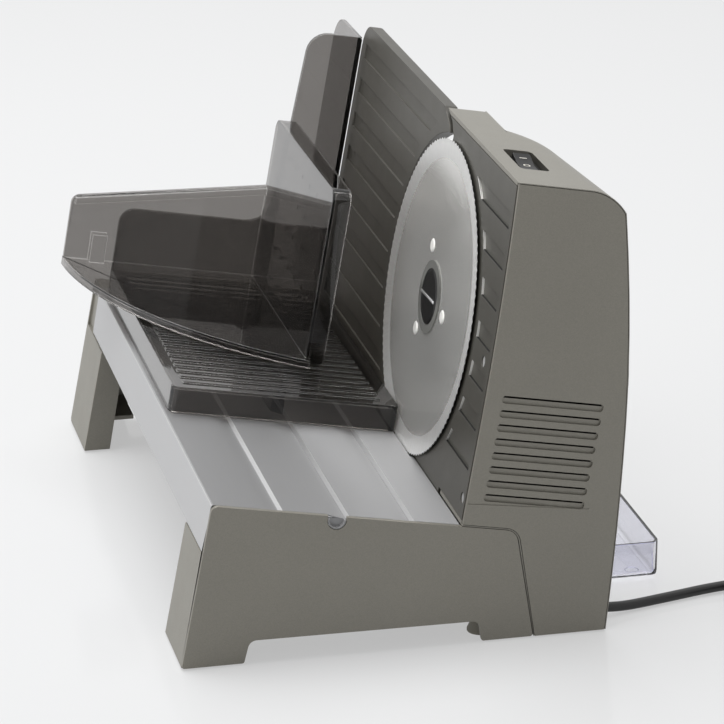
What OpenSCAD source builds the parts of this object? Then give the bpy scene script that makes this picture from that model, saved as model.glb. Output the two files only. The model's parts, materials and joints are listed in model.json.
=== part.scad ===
// Electric food slicer: a tilted deck with a sliding food carriage, a geared
// round blade in a motor head, a stop plate for the slice thickness and a tray.
// Lengths in millimetres, +Z up. The origin lies on the table in the middle of
// the base. +Y runs along the deck away from the near end panel and +X points
// from the deck to the motor head. Deck, blade and head share one tilted frame:
// x from the blade plane towards the head, y along the deck, h above the deck.

/* [Base] */
// Length of the base over both end panels
base_len = 416; // [404:2:428]
// Slope of the deck, the blade and the head in degrees
base_tilt = 10; // [9.5:0.25:10.5]
// Height of the deck at the blade plane
deck_h = 73; // [72:0.5:76]
// Width of the deck from the blade plane to its left edge
deck_w = 144.6; // [140:0.2:150]
// Distance of the blade plane from the middle of the base, at deck height
deck_edge_x = 37.5; // [36:0.5:39]
// Wall of the moulded end panels
panel_t = 3; // [2.6:0.2:3.4]
// Depth of the near leg
near_leg = 54; // [52:1:56]
// Depth of the far leg
far_leg = 60; // [59:1:62]
// Width of the left feet
foot_w = 36; // [33:1:40]
// Height of the arch between the feet
arch_h = 13.5; // [13:0.25:14]
// Width of the inner lip of the legs
lip_w = 14; // [12:1:15]
// Air between the end panels and the table
foot_gap = 1; // [0.5:0.25:1.5]
// Radius of the suction feet
sucker_r = 8; // [7.5:0.25:8.5]

/* [Deck] */
// Thickness of the deck's steel sheet
sheet_t = 1; // [0.8:0.1:1.2]
// Height of the apron bent down at the deck's left edge
apron_h = 30; // [24:1:36]
// Depth of the grooves in the deck
groove_d = 2.2; // [1.8:0.1:2.4]
// Width of a groove
groove_w = 13; // [12:0.5:15]
// Distance from groove to groove
groove_pitch = 38.6; // [37:0.2:40]
// Distance of the first groove from the blade plane
groove_x = 27.2; // [26:0.2:29]

/* [Motor head] */
// Height of the head above the deck
head_h = 200; // [197:1:203]
// Depth of the head at its crown
head_d = 66.5; // [64:0.5:70]
// Radius of the crown between the top and the rear
crown_r = 28; // [24:1:32]
// Depth of the straight spine behind the blade
spine_d = 24.5; // [24:0.25:26]
// Wall of the housing
shell_t = 2.5; // [2.2:0.1:2.8]
// Radius of the rounded far corner of the head
corner_r = 60; // [55:1:64]
// Inward slope of the head's rear along its length, in degrees
head_taper = 5.7; // [5.2:0.1:6]
// Height of the bay for the tray
bay_h = 34; // [32:0.5:36]
// Length of the vent slots
vent_l = 60; // [50:1:62]
// Height of a vent slot
vent_w = 4.4; // [3.5:0.1:5]
// Distance from vent to vent
vent_pitch = 8.43; // [8:0.1:8.6]
// Number of vent slots
vents = 8; // [5:1:8]

/* [Face plate] */
// Height of the sunk fields
pad_w = 9.5; // [8:0.5:11]
// Distance from field to field
pad_pitch = 23.45; // [22:0.5:24]
// Thickness of the face plate
face_t = 2.5; // [2.2:0.1:2.8]

/* [Blade] */
// Diameter of the blade
blade_d = 190; // [186:1:191]
// Distance of the blade's centre from the near end
blade_from_near = 138; // [136:0.5:140]
// Height of the blade's centre above the deck
blade_h = 92.7; // [92:0.1:94]
// Radius of the hub ring
hub_r = 22; // [20:0.5:24]
// Radius of the lock cap
cap_r = 16.6; // [15:0.1:16.8]
// Radius of the lock's shank
shank_r = 8; // [7:0.1:8.5]
// Radius of the blade spindle
spindle_r = 6; // [5:0.1:6.5]

/* [Gears] */
// Module of the blade stage
mod_1 = 1.5; // [1.45:0.01:1.52]
// Module of the motor stage
mod_2 = 1.25; // [1.2:0.01:1.3]
// Teeth of the blade gear
teeth_blade = 52; // [50:1:53]
// Teeth of the small intermediate gear
teeth_small = 12; // [12:1:13]
// Teeth of the large intermediate gear
teeth_large = 48; // [46:1:49]
// Teeth of the motor pinion
teeth_motor = 12; // [12:1:13]
// Play between the teeth
backlash = 0.3; // [0.25:0.05:0.4]

/* [Motor] */
// Radius of the motor can
motor_r = 29; // [27:0.5:30]
// Length of the motor can
motor_l = 35; // [33:1:36]
// Radius of the motor shaft
shaft_r = 2.5; // [2:0.1:3]

/* [Stop plate] */
// Thickness of the stop plate
stop_t = 8; // [7:0.25:8.5]
// Travel of the stop plate, the largest slice thickness
stop_travel = 15; // [10:1:15]
// Radius of the round cut-out beside the blade
stop_gap_r = 98; // [97:0.5:99]
// Radius of the guide rods
rod_r = 4; // [3:0.25:4.5]
// Radius of the thickness knob
knob_r = 19; // [16:1:22]

/* [Carriage] */
// Width of the carriage floor
car_w = 140.3; // [136:0.5:142]
// Length of the carriage
car_l = 230; // [228:0.5:236]
// Height of the carriage floor above the deck
car_h = 17; // [15:0.5:19]
// Wall of the carriage
car_t = 2.5; // [2.2:0.1:2.8]
// Height of the tall wall beside the blade
car_wall_h = 190; // [180:1:192]
// Number of ribs on the floor
ribs = 21; // [15:1:21]

/* [Food pusher] */
// Distance of the spiked plate from the blade plane
push_x = 50; // [47:0.5:52]
// Height of the spiked plate
push_h = 131.5; // [120:0.5:134]
// Wall of the pusher
push_t = 2.5; // [2.2:0.1:2.8]

/* [Slice tray] */
// Length of the tray
tray_l = 194; // [180:1:200]
// Width of the tray
tray_w = 120; // [112:1:120]
// Height of the tray
tray_h = 24.5; // [22:0.5:27]
// Wall of the tray
tray_t = 2; // [1.6:0.1:2.4]

/* [Mains lead] */
// Diameter of the cord
cord_d = 6; // [5.5:0.1:6]
// Turns of the coil in each layer
coil_turns = 2.75; // [2.75:1:2.75]

/* [Hidden] */
$fn = 64;
y_near = -base_len / 2;
y_far = base_len / 2;
run_fit = 0.05;
fit = 0.15;
ct = cos(base_tilt);
st = sin(base_tilt);
groove_low = groove_d + sheet_t;
deck_right = 2.3;

// point of the tilted frame in the upright XZ plane, and back
function tp(x, h) = [deck_edge_x + x * ct + h * st, deck_h - x * st + h * ct];
function to_t(p) = [(p[0] - deck_edge_x) * ct - (p[1] - deck_h) * st,
                    (p[0] - deck_edge_x) * st + (p[1] - deck_h) * ct];
// where the line x meets the height z
function tx_at(x, z) = deck_edge_x + x / ct + (z - deck_h) * st / ct;

function unit(v) = v / norm(v);
function corner(p, q, s, r, n) =
    let (u = unit(p - q),
         v = unit(s - q),
         half = acos(u * v) / 2,
         c = q + unit(u + v) * r / sin(half),
         a = q + u * (r / tan(half)) - c,
         b = q + v * (r / tan(half)) - c,
         a0 = atan2(a[1], a[0]),
         turn = atan2(a[0] * b[1] - a[1] * b[0], a * b))
    [for (i = [0:n]) c + r * [cos(a0 + turn * i / n), sin(a0 + turn * i / n)]];
// outline from [point, radius] pairs
function rounded(list, n = 6) =
    let (m = len(list))
    [for (i = [0:m - 1])
        each (list[i][1] == 0 ? [list[i][0]]
            : corner(list[(i + m - 1) % m][0], list[i][0], list[(i + 1) % m][0], list[i][1], n))];
function box_round(x0, y0, x1, y1, r, n = 6) =
    rounded([[[x0, y0], r], [[x1, y0], r], [[x1, y1], r], [[x0, y1], r]], n);

module tilted() translate([deck_edge_x, 0, deck_h]) rotate([0, base_tilt, 0]) children();
// an outline in (y, h) drawn out along x, and one in (x, z) drawn out along y
module across(x0, x1) translate([x0, 0, 0]) rotate([90, 0, 90]) linear_extrude(x1 - x0) children();
module along(y0, y1) translate([0, y1, 0]) rotate([90, 0, 0]) linear_extrude(y1 - y0) children();
module box(x0, x1, y0, y1, z0, z1) translate([x0, y0, z0]) cube([x1 - x0, y1 - y0, z1 - z0]);
// a round bar along x
module bar(x0, x1, y, h, r, r2 = 0)
    translate([x0, y, h]) rotate([0, 90, 0]) cylinder(h = x1 - x0, r1 = r, r2 = r2 == 0 ? r : r2);

// Base
leg_left = tx_at(-deck_w - sheet_t, foot_gap) - 1.8;
seam_x = 33;
seam_foot_x = 80.6;
right_foot_x = 50;
seam_t = to_t([seam_foot_x, foot_gap]);
seam_slope = (seam_t[0] - seam_x) / -seam_t[1];
function seam_at(h) = seam_x - seam_slope * h;
panel_outline = rounded([
    [[leg_left, foot_gap], 1.5],
    [tp(-deck_w - sheet_t, 0), 4],
    [tp(seam_x, 0), 8],
    [[seam_foot_x, foot_gap], 1.5],
    [[right_foot_x, foot_gap], 1.5],
    [[right_foot_x - 2, arch_h], 4],
    [[leg_left + foot_w + 3.5, arch_h + 1], 5],
    [[leg_left + foot_w, foot_gap], 1.5]]);
leg_foot = to_t([leg_left, foot_gap]);
under_apron = -apron_h - 0.4;
leg_flare = (leg_foot[0] + deck_w + sheet_t) / leg_foot[1];
leg_outline = [
    [leg_left, foot_gap],
    tp(-deck_w - sheet_t + leg_flare * under_apron, under_apron),
    tp(-deck_w, under_apron),
    tp(-deck_w, -groove_low),
    tp(seam_at(-groove_low), -groove_low),
    [seam_foot_x, foot_gap]];
leg_space = rounded([
    [[tx_at(-deck_w + panel_t, foot_gap) - 1, foot_gap - 5], 0],
    [tp(-deck_w + panel_t, -groove_low - panel_t), 4],
    [tp(seam_at(-groove_low) - panel_t, -groove_low - panel_t), 4],
    [[seam_foot_x - panel_t + 1.5, foot_gap - 5], 0]]);
lip_space = rounded([
    [[tx_at(-deck_w + lip_w, foot_gap) - 1, foot_gap - 5], 0],
    [tp(-deck_w + lip_w, -groove_low - lip_w), 12],
    [tp(seam_at(-groove_low) - lip_w + 4, -groove_low - lip_w), 6],
    [[seam_foot_x - lip_w + 4, foot_gap - 5], 0]]);
web_z = 14;
web_t = 3;
feet = [[leg_left + 14.2, y_near + 24], [right_foot_x + 4, y_near + 18],
        [leg_left + 14.2, y_far - 26], [right_foot_x + 4, y_far - 28]];
pin_r = 3;
notch_x = 72.7;
notch_r = 5.5;
notch_d = 8;

module leg(y0, y1, lip0, lip1) {
    along(y0, y1) difference() {
        polygon(leg_outline);
        polygon(leg_space);
    }
    along(lip0, lip1) difference() {
        polygon(leg_outline);
        polygon(lip_space);
    }
}
module foot_webs(y0, y1, p, q) {
    difference() {
        union() {
            box(tx_at(-deck_w + panel_t / 2, web_z), leg_left + foot_w, y0, y1, web_z, web_z + web_t);
            box(q[0] - 17, seam_foot_x - 3, y0, y1, web_z, web_z + web_t);
        }
        for (c = [p, q])
            translate([c[0], c[1], 0]) cylinder(h = 40, r = pin_r + fit);
    }
}
module notch_form(i) {
    translate([-notch_x, notch_r - notch_d]) circle(r = notch_r - i);
    translate([-notch_x - notch_r + i, notch_r - notch_d]) square([2 * (notch_r - i), notch_d]);
}
module near_end_panel() color([0.43, 0.42, 0.385]) difference() {
    union() {
        along(y_near, y_near + panel_t) polygon(panel_outline);
        leg(y_near + panel_t - 1, y_near + near_leg, y_near + near_leg - panel_t, y_near + near_leg);
        foot_webs(y_near + 1, y_near + 42, feet[0], feet[1]);
    }
    tilted() along(y_near - 1, y_near + near_leg - panel_t - 1) notch_form(0);
}

// Stop guide and thickness cam in the far leg
knob_x = 6;
knob_h = -34;
pin_orbit = 9;
rod_y = y_far - 48;
rod_hs = [-22, -44];
cam_r = pin_orbit + stop_travel + 4.5;
cam_y0 = y_far - 12;
cam_y1 = y_far - 5;
rim_d = 20;

module far_end_panel() color([0.43, 0.42, 0.385]) difference() {
    union() {
        along(y_far - panel_t, y_far) polygon(panel_outline);
        difference() {
            leg(y_far - far_leg, y_far - panel_t + 1, y_far - far_leg, y_far - far_leg + panel_t);
            tilted() box(-0.5, 32, y_far - far_leg + panel_t, y_far - panel_t,
                         -groove_low - panel_t - 1, 1);
        }
        tilted() box(-deck_w - sheet_t, -3, y_far - rim_d, y_far - 1, -groove_low - 1, 0);
        tilted() box(-5, -1, y_far - far_leg + 1, y_far - 38, -52, -groove_low - 1);
        difference() {
            foot_webs(y_far - 42, y_far - 15, feet[2], feet[3]);
            tilted() box(0, 60, y_far - 40, y_far - 14, -50, 0);
        }
        along(y_far - 42, y_far - panel_t + 1)
            polygon([[tx_at(-deck_w + panel_t / 2, web_z), web_z],
                     [leg_left + foot_w, web_z],
                     [leg_left + foot_w, web_z + web_t],
                     [tx_at(-deck_w + panel_t / 2, web_z), web_z + web_t]]);
    }
    for (c = [feet[2], feet[3]])
        translate([c[0], c[1], 0]) cylinder(h = 40, r = pin_r + fit);
    tilted() for (h = rod_hs)
        bar(-7, 70, rod_y, h, rod_r + run_fit);
    tilted() along(y_far - panel_t - 1, y_far + 1) translate([knob_x, knob_h]) circle(r = 5 + run_fit);
}

module deck_plate() color([0.66, 0.66, 0.67]) {
    grooves = [for (i = [2:-1:0]) groove_x + i * groove_pitch];
    top = concat([[-deck_w - sheet_t, -apron_h], [-deck_w - sheet_t, -1.6],
                  [-deck_w - sheet_t + 0.5, -0.5], [-deck_w - sheet_t + 1.6, 0]],
                 [for (g = grooves) each [[-g - groove_w, 0], [-g - 1.6, -groove_d], [-g, 0]]],
                 [[-deck_right, 0]]);
    low = concat([[-deck_right, -sheet_t]],
                 [for (i = [2:-1:0]) let (g = grooves[i])
                     each [[-g, -sheet_t], [-g - 1.6, -groove_low], [-g - groove_w, -sheet_t]]],
                 [[-deck_w, -sheet_t], [-deck_w, -apron_h]]);
    tilted() {
        along(y_near + panel_t, y_far - rim_d) polygon(concat(top, low));
        box(-deck_right - 0.5, -0.2, y_near + panel_t, blade_y - 24, -sheet_t, 0);
        // the middle groove ends in a channel in the near panel's notch
        intersection() {
            union() {
                along(y_near + 0.4, y_near + panel_t + 0.5) difference() {
                    notch_form(fit);
                    notch_form(fit + sheet_t);
                }
                along(y_near + panel_t, y_near + panel_t + sheet_t) notch_form(fit);
            }
            box(-deck_w, 0, y_near, y_near + 10, -20, -groove_d + 0.2);
        }
    }
}

beam_x0 = -34;
beam_x1 = -4;
beam_h = 34;
module base_beam() color([0.3, 0.3, 0.3])
    tilted() along(y_near + near_leg, y_far - far_leg) difference() {
        polygon([[beam_x0, -beam_h], [beam_x0, -groove_low], [beam_x1, -groove_low], [beam_x1, -beam_h]]);
        polygon([[beam_x0 + panel_t, -beam_h - 1], [beam_x0 + panel_t, -groove_low - panel_t],
                 [beam_x1 - panel_t, -groove_low - panel_t], [beam_x1 - panel_t, -beam_h - 1]]);
    }

module suction_feet() color([0.59, 0.57, 0.52]) for (c = feet)
    translate([c[0], c[1], 0]) rotate_extrude()
        polygon([[0, 2], [sucker_r - 3, 1.4], [sucker_r - 1.5, 0], [sucker_r, 0],
                 [sucker_r, 1.5], [6.5, 5], [6, web_z], [pin_r, web_z], [pin_r, web_z + web_t],
                 [4.4, web_z + web_t], [3.4, web_z + web_t + 2.5], [0, web_z + web_t + 2.5]]);

// Motor head
blade_y = y_near + blade_from_near;
front_x = 0.2;
far_y = blade_y + 46;
top_far_y = blade_y + 39;
bulge_far = blade_y + 24;
foot_back = y_near + 55;
deck_gap = 0.25;
crown_a = 38;
crown_x = head_d - crown_r * cos(crown_a);
crown_end = tp(head_d, head_h - crown_r + crown_r * sin(crown_a));
rear_r = 2110;
rear_z = 225;
rear_n = 12;
function rear_x(z) = crown_end[0] + (pow(crown_end[1] - rear_z, 2) - pow(z - rear_z, 2)) / (2 * rear_r);
function rear_line(z0, i) =
    [for (k = [0:rear_n])
        let (z = z0 + (crown_end[1] - z0) * k / rear_n)
        [rear_x(z) - i, z - i * k / rear_n / 2]];
function crown_line(i) =
    [for (a = [crown_a + 4:4:90])
        tp(crown_x + (crown_r - i) * cos(a), head_h - crown_r + (crown_r - i) * sin(a))];
// outline of the head over the near leg, and behind the leg above the tray bay
function foot_outline(i, x0) = concat(
    [tp(x0, deck_gap + i)],
    corner(tp(x0, deck_gap + i), tp(seam_x + deck_gap + i, deck_gap + i),
           [seam_foot_x + deck_gap + i, foot_gap], 9 + i, 6),
    [[seam_foot_x + deck_gap + i * 1.05, foot_gap - i * 2]],
    rear_line(foot_gap - i * 2, i), crown_line(i), [tp(x0, head_h - i)]);
function main_outline(i, x0, z0) = concat(
    [[tx_at(x0, z0), z0]], rear_line(z0, i), crown_line(i), [tp(x0, head_h - i)]);

lean_h = 60;
lean_r = 739;
function side_y(h) = y_near + (h > lean_h ? lean_r - sqrt(lean_r * lean_r - pow(h - lean_h, 2)) : 0);
side_hs = concat([-120, 0], [for (k = [0:14]) lean_h + k * 11]);
module behind_side(off)
    polygon(concat([for (h = side_hs) [side_y(h) + off, h]], [[y_far + 400, 214], [y_far + 400, -120]]));
module side_slab(t) difference() {
    behind_side(0);
    behind_side(t);
}

module plan_mask(i) {
    x0 = crown_end[0] + 0.5 - i;
    slope = tan(head_taper);
    linear_extrude(400) polygon(rounded([
        [[-60, y_near - 20], 0], [[x0 + 20 * slope, y_near - 20], 0],
        [[x0 - slope * (bulge_far - y_near), bulge_far - i], corner_r - i],
        [[-60, bulge_far - i], 0]], 16));
}
// rear and crown run inwards along the head
module rear_mask(i)
    tilted() translate([head_d, y_near, 0]) rotate([0, 0, head_taper]) translate([-head_d, -y_near, 0])
        along(y_near - 80, y_far) polygon([for (p = main_outline(i, -200, -30)) to_t(p)]);
// the crown turns round the far corner
corner_y = bulge_far - corner_r;
corner_x = head_d - (corner_r + sin(head_taper) * (corner_y - y_near)) / cos(head_taper);
module crown_turn(i) {
    arc = [for (a = [crown_a:4:90])
        [corner_r - crown_r * cos(crown_a) + (crown_r - i) * cos(a),
         head_h - crown_r + (crown_r - i) * sin(a)]];
    low = -250;
    tilted() translate([corner_x, corner_y, 0]) {
        rotate_extrude($fn = 96) polygon(concat(
            [[0, low], [arc[0][0] + (arc[0][1] - low) * tan(crown_a), low]], arc, [[0, head_h - i]]));
        rotate([0, 0, head_taper]) box(-400, 400, -400, 0, low, head_h + 20);
        box(-400, 0, -400, 400, low, head_h + 20);
    }
}
module head_mask(i) {
    intersection() {
        plan_mask(i);
        rear_mask(i);
        crown_turn(i);
    }
    tilted() across(front_x - i, spine_d - i) polygon([
        [y_near - 20, -150], [far_y - i, -150], [far_y - i, 172 - i],
        [top_far_y - i, 179 - i], [top_far_y - i, head_h - i], [y_near - 20, head_h - i]]);
}
module head_body() intersection() {
    union() {
        along(y_near - 1, foot_back) polygon(foot_outline(0, front_x));
        along(foot_back - 1, y_far) polygon(main_outline(0, front_x, bay_h));
    }
    head_mask(0);
}
module head_space() intersection() {
    union() {
        along(y_near - 2, foot_back - shell_t) polygon(foot_outline(shell_t, -3));
        along(foot_back - shell_t - 1, y_far) polygon(main_outline(shell_t, -3, bay_h + shell_t));
        along(foot_back + shell_t, y_far) polygon(main_outline(shell_t, -3, bay_h - 4));
    }
    head_mask(shell_t);
}
// room for the tip of the stop plate, and the switch recess
tip_gap = 1;
pocket = [[blade_y + 14.5, 175.5], [blade_y + 60, 175.5], [blade_y + 60, head_h + 9],
          [blade_y + 39 + 9, head_h + 5], [blade_y + 22.2, 193 + 2], [blade_y + 14.5, 188]];
module pocket_space() tilted() across(-3, stop_t + stop_travel + 0.6) polygon(pocket);
module pocket_block() tilted() across(sink_x + face_t + 0.1, stop_t + stop_travel + 2.6)
    translate([blade_y + 12.5, 173.5]) square([49.5, head_h + 9 - 173.5]);
sw_x = 19.2;
sw_y = y_near + 66.5;
sw_w = 17.5;
sw_l = 41;
sw_depth = 5;
module recess(g, d) tilted() translate([0, 0, head_h - d])
    linear_extrude(d + 20) polygon(box_round(sw_x - sw_w / 2 - g, sw_y - sw_l / 2 - g,
                                            sw_x + sw_w / 2 + g, sw_y + sw_l / 2 + g, 3));
sw_body_w = 13;
sw_body_l = 30;
grip_y = y_near + 22;
grip_z = 5.2;
grip_x0 = 100;

module motor_housing() color([0.65, 0.635, 0.6]) difference() {
    union() {
        difference() {
            head_body();
            difference() {
                head_space();
                pocket_block();
                recess(2, sw_depth + 2);
            }
        }
        intersection() {
            box(grip_x0 + 4.2, grip_x0 + 7, y_near + 4, foot_back - 1, foot_gap, 26);
            along(y_near, y_far) polygon(foot_outline(1, front_x));
        }
    }
    pocket_space();
    recess(0, sw_depth);
    tilted() bar(-3, face_x + face_t, blade_y, blade_h, blade_d / 2 + 4);
    tilted() box(stop_t + stop_travel, 40, blade_y + 36.5, blade_y + 60, 186, head_h + 9);
    tilted() box(sw_x - sw_body_w / 2 - fit, sw_x + sw_body_w / 2 + fit, sw_y - sw_body_l / 2 - fit,
                 sw_y + sw_body_l / 2 + fit, head_h - 30, head_h + 1);
    // outside of the curved side, and the seat of the side cover
    tilted() across(-60, 200) difference() {
        translate([y_near - 60, -120]) square([160, 400]);
        behind_side(0);
    }
    intersection() {
        along(y_near - 5, y_near + 60) polygon(foot_outline(0.65, -1));
        rear_mask(0.65);
        tilted() across(-60, 200) side_slab(shell_t + 0.25);
    }
    translate([grip_x0 - 1, grip_y, grip_z]) rotate([0, 90, 0]) cylinder(h = 12, r = 5.7);
    translate([grip_x0 + 15, grip_y, grip_z]) rotate([0, 90, 0]) cylinder(h = 40, r = 4.9);
    box(grip_x0 + 15, grip_x0 + 50, grip_y - 4.9, grip_y + 4.9, -5, grip_z);
    box(grip_x0 - 1, grip_x0 + 11, grip_y - 5.7, grip_y + 5.7, -5, grip_z);
}

module side_cover() color([0.43, 0.42, 0.385]) difference() {
    intersection() {
        along(y_near - 5, y_near + 60) polygon(foot_outline(0.9, 0.6));
        rear_mask(0.9);
        tilted() across(-60, 200) side_slab(shell_t);
        box(-200, 300, y_near - 5, y_near + 60, foot_gap, 400);
    }
    tilted() for (i = [0:vents - 1]) {
        vent_top = 20.7 + i * vent_pitch;
        along(y_near - 1, y_near + 1.6)
            polygon(box_round(10, vent_top - vent_w, 10 + vent_l, vent_top, 1.9));
        box(11, 9 + vent_l, y_near - 1, y_near + 9, vent_top - 1.2, vent_top);
    }
    tilted() rotate([0, -2.4, 0]) box(2, 74, y_near - 1, y_near + 0.5, 13.6, 14.3);
}

// Face plate
face_x = 0.1;
floor_h = deck_gap + shell_t + 0.2;
sink_r = blade_d / 2 - 2;
sink_x = 0.5;
pad_r = blade_d / 2 + 5.3;
pad_d = 1.4;
gear_hole_r = 41.5;
posts = [[y_near + 17.1, 93.5], [y_near + 9.2, 14], [blade_y + 2, 150], [blade_y + 8, 28]];
post_r = 4;
screw_r = 1.6;
module face_outline() intersection() {
    difference() {
        polygon([[y_near - 5, floor_h], [foot_back + 0.5, floor_h], [foot_back + 0.5, -34],
                 [far_y - shell_t - 0.2, -34], [far_y - shell_t - 0.2, 171.7 - shell_t],
                 [top_far_y - shell_t - 0.2, 178.7 - shell_t],
                 [top_far_y - shell_t - 0.2, head_h - shell_t - 0.2],
                 [y_near - 5, head_h - shell_t - 0.2]]);
        polygon([for (p = pocket) p + [-0.5, 0]]);
    }
    behind_side(shell_t + 0.3);
}
module face_plate() color([0.36, 0.355, 0.325]) tilted() difference() {
    union() {
        across(face_x, face_x + face_t) face_outline();
        intersection() {
            bar(face_x, sink_x + face_t, blade_y, blade_h, sink_r + shell_t);
            across(-1, 20) face_outline();
        }
    }
    for (i = [0:6]) across(face_x - 1, face_x + pad_d) intersection() {
        difference() {
            translate([y_near, 31 + i * pad_pitch]) square([blade_from_near, pad_w]);
            translate([blade_y, blade_h]) circle(r = pad_r);
        }
        behind_side(shell_t + 5.5);
    }
    bar(-3, sink_x, blade_y, blade_h, sink_r);
    bar(-3, 20, blade_y, blade_h, gear_hole_r);
    for (p = posts) {
        bar(-3, 20, p[0], p[1], screw_r + fit);
        bar(-3, head_x + 1.2, p[0], p[1], 3.2);
    }
}
head_x = 0.8;
function post_x(p) = norm([p[0] - blade_y, p[1] - blade_h]) < sink_r ? sink_x : face_x;
module face_screws() color([0.6, 0.6, 0.6]) tilted() for (p = posts) {
    bar(head_x, head_x + 1.2, p[0], p[1], 3);
    bar(head_x + 1, head_x + 13, p[0], p[1], screw_r);
}

module bottom_cover() color([0.2, 0.2, 0.2]) difference() {
    intersection() {
        box(-40, 200, foot_back + shell_t + 0.2, y_far, bay_h, bay_h + 2.4);
        along(foot_back, y_far) polygon(main_outline(shell_t + 0.2, face_x + face_t + 0.2, bay_h - 1));
        head_mask(shell_t + 0.2);
    }
    for (c = cover_screws)
        translate([c[0], c[1], bay_h - 1]) cylinder(h = 9, r = screw_r + fit);
}
cover_screws = [[60, foot_back + 14], [112, foot_back + 14],
                [60, bulge_far - 20], [98, bulge_far - 34]];
module bottom_screws() color([0.6, 0.6, 0.6]) for (c = cover_screws) translate([c[0], c[1], 0]) {
    translate([0, 0, bay_h - 1.6]) cylinder(h = 1.6, r = 3);
    translate([0, 0, bay_h]) cylinder(h = 7, r = screw_r);
}

// Blade and hub
disc_x0 = -0.7;
disc_x1 = 0.1;
rim_x = -1.9;
module blade() color([0.75, 0.75, 0.74]) tilted() difference() {
    translate([0, blade_y, blade_h]) rotate([0, 90, 0]) rotate_extrude($fn = 180) polygon([
        [shank_r + run_fit, disc_x0], [blade_d / 2 - 12, disc_x0], [blade_d / 2, rim_x],
        [blade_d / 2, rim_x + 0.25], [blade_d / 2 - 11, disc_x1 - 0.2],
        [blade_d / 2 - 16, disc_x1], [shank_r + run_fit, disc_x1]]);
    for (p = rivets)
        bar(-5, 5, p[0], p[1], rivet_r + fit);
}
rivet_r = 2;
rivet_orbit = 31;
rivets = [for (a = [65, 185, 305]) [blade_y + rivet_orbit * cos(a), blade_h + rivet_orbit * sin(a)]];
module hub_ring() color([0.12, 0.12, 0.12]) tilted() difference() {
    bar(disc_x0 - 0.8, disc_x0, blade_y, blade_h, hub_r);
    bar(-4, 2, blade_y, blade_h, cap_r + 0.3);
}
module blade_rivets() color([0.75, 0.75, 0.74]) tilted() for (p = rivets) {
    bar(disc_x0 - 0.5, disc_x0, p[0], p[1], 3.4, 4.2);
    bar(disc_x0, 4.5, p[0], p[1], rivet_r);
}
module blade_lock() color([0.07, 0.07, 0.07]) tilted() {
    translate([0, blade_y, blade_h]) rotate([0, 90, 0]) rotate_extrude()
        polygon([[0, disc_x0 - 1.5], [cap_r - 2, disc_x0 - 1.3], [cap_r, disc_x0 - 0.5],
                 [cap_r, disc_x0 - 0.1], [shank_r, disc_x0 - 0.1], [shank_r, 2.3], [0, 2.3]]);
    translate([0, blade_y, blade_h]) rotate([-2, 0, 0])
        box(disc_x0 - 1.9, disc_x0 - 0.8, -14.5, 14.5, -0.8, 0.8);
}

// Gear train
pa = 25;
function inv(a) = tan(a) * 180 / PI - a;
function half_tooth(n, m, r) =
    ((PI * m / 2 - backlash) / (n * m)) * 180 / PI + inv(pa)
    - inv(acos(min(1, n * m / 2 * cos(pa) / r)));
function tooth(n, m, c) =
    let (ra = n * m / 2 + 0.88 * m,
         rf = n * m / 2 - 1.2 * m,
         lo = max(n * m / 2 * cos(pa), rf + 0.05),
         q = [for (i = [0:3]) lo + (ra - lo) * i / 3],
         w = half_tooth(n, m, lo))
    concat([[rf, c - w]], [for (i = [0:3]) [q[i], c - half_tooth(n, m, q[i])]],
           [for (i = [3:-1:0]) [q[i], c + half_tooth(n, m, q[i])]], [[rf, c + w]]);
module gear(n, m, start)
    polygon([for (k = [0:n - 1])
        each [for (t = tooth(n, m, start + 360 * k / n)) t[0] * [cos(t[1]), sin(t[1])]]]);
dist_1 = mod_1 * (teeth_blade + teeth_small) / 2 + 0.1;
dist_2 = mod_2 * (teeth_large + teeth_motor) / 2 + 0.1;
way_1 = 210;
way_2 = 200;
mid_y = blade_y + dist_1 * cos(way_1);
mid_h = blade_h + dist_1 * sin(way_1);
mot_y = mid_y + dist_2 * cos(way_2);
mot_h = mid_h + dist_2 * sin(way_2);
gear_x0 = 6.6;
gear_x1 = 12.4;
axle_r = 3.5;
plate_x = 21.5;
plate_t = 3;

module blade_gear() color([0.85, 0.83, 0.76]) tilted() difference() {
    union() {
        across(disc_x1, gear_x1) translate([blade_y, blade_h]) gear(teeth_blade, mod_1, way_1);
        bar(gear_x1 - 1, gear_x1 + 3, blade_y, blade_h, 10);
    }
    bar(-1, 3.4, blade_y, blade_h, shank_r + run_fit);
    bar(-1, 30, blade_y, blade_h, spindle_r + run_fit);
    for (p = rivets)
        bar(-1, 4.6, p[0], p[1], rivet_r + fit);
    difference() {
        bar(6, 20, blade_y, blade_h, 33);
        bar(5, 21, blade_y, blade_h, 13);
        for (p = rivets)
            bar(5, 21, p[0], p[1], 4.5);
    }
}
module blade_spindle() color([0.7, 0.7, 0.72]) tilted()
    bar(3.6, plate_x + plate_t, blade_y, blade_h, spindle_r);
module intermediate_gear() color([0.85, 0.83, 0.76]) tilted() difference() {
    union() {
        across(gear_x0, 13) translate([mid_y, mid_h])
            gear(teeth_small, mod_1, way_1 - 180 + 180 / teeth_small);
        across(12.8, 18.6) translate([mid_y, mid_h]) gear(teeth_large, mod_2, way_2);
    }
    bar(0, 30, mid_y, mid_h, axle_r + run_fit);
}
module intermediate_axle() color([0.7, 0.7, 0.72]) tilted()
    bar(gear_x0 + 0.2, plate_x + plate_t, mid_y, mid_h, axle_r);
module motor_pinion() color([0.72, 0.62, 0.35]) tilted() difference() {
    across(13.2, 19.6) translate([mot_y, mot_h])
        gear(teeth_motor, mod_2, way_2 - 180 + 180 / teeth_motor);
    bar(0, 30, mot_y, mot_h, shaft_r + run_fit);
}
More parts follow.
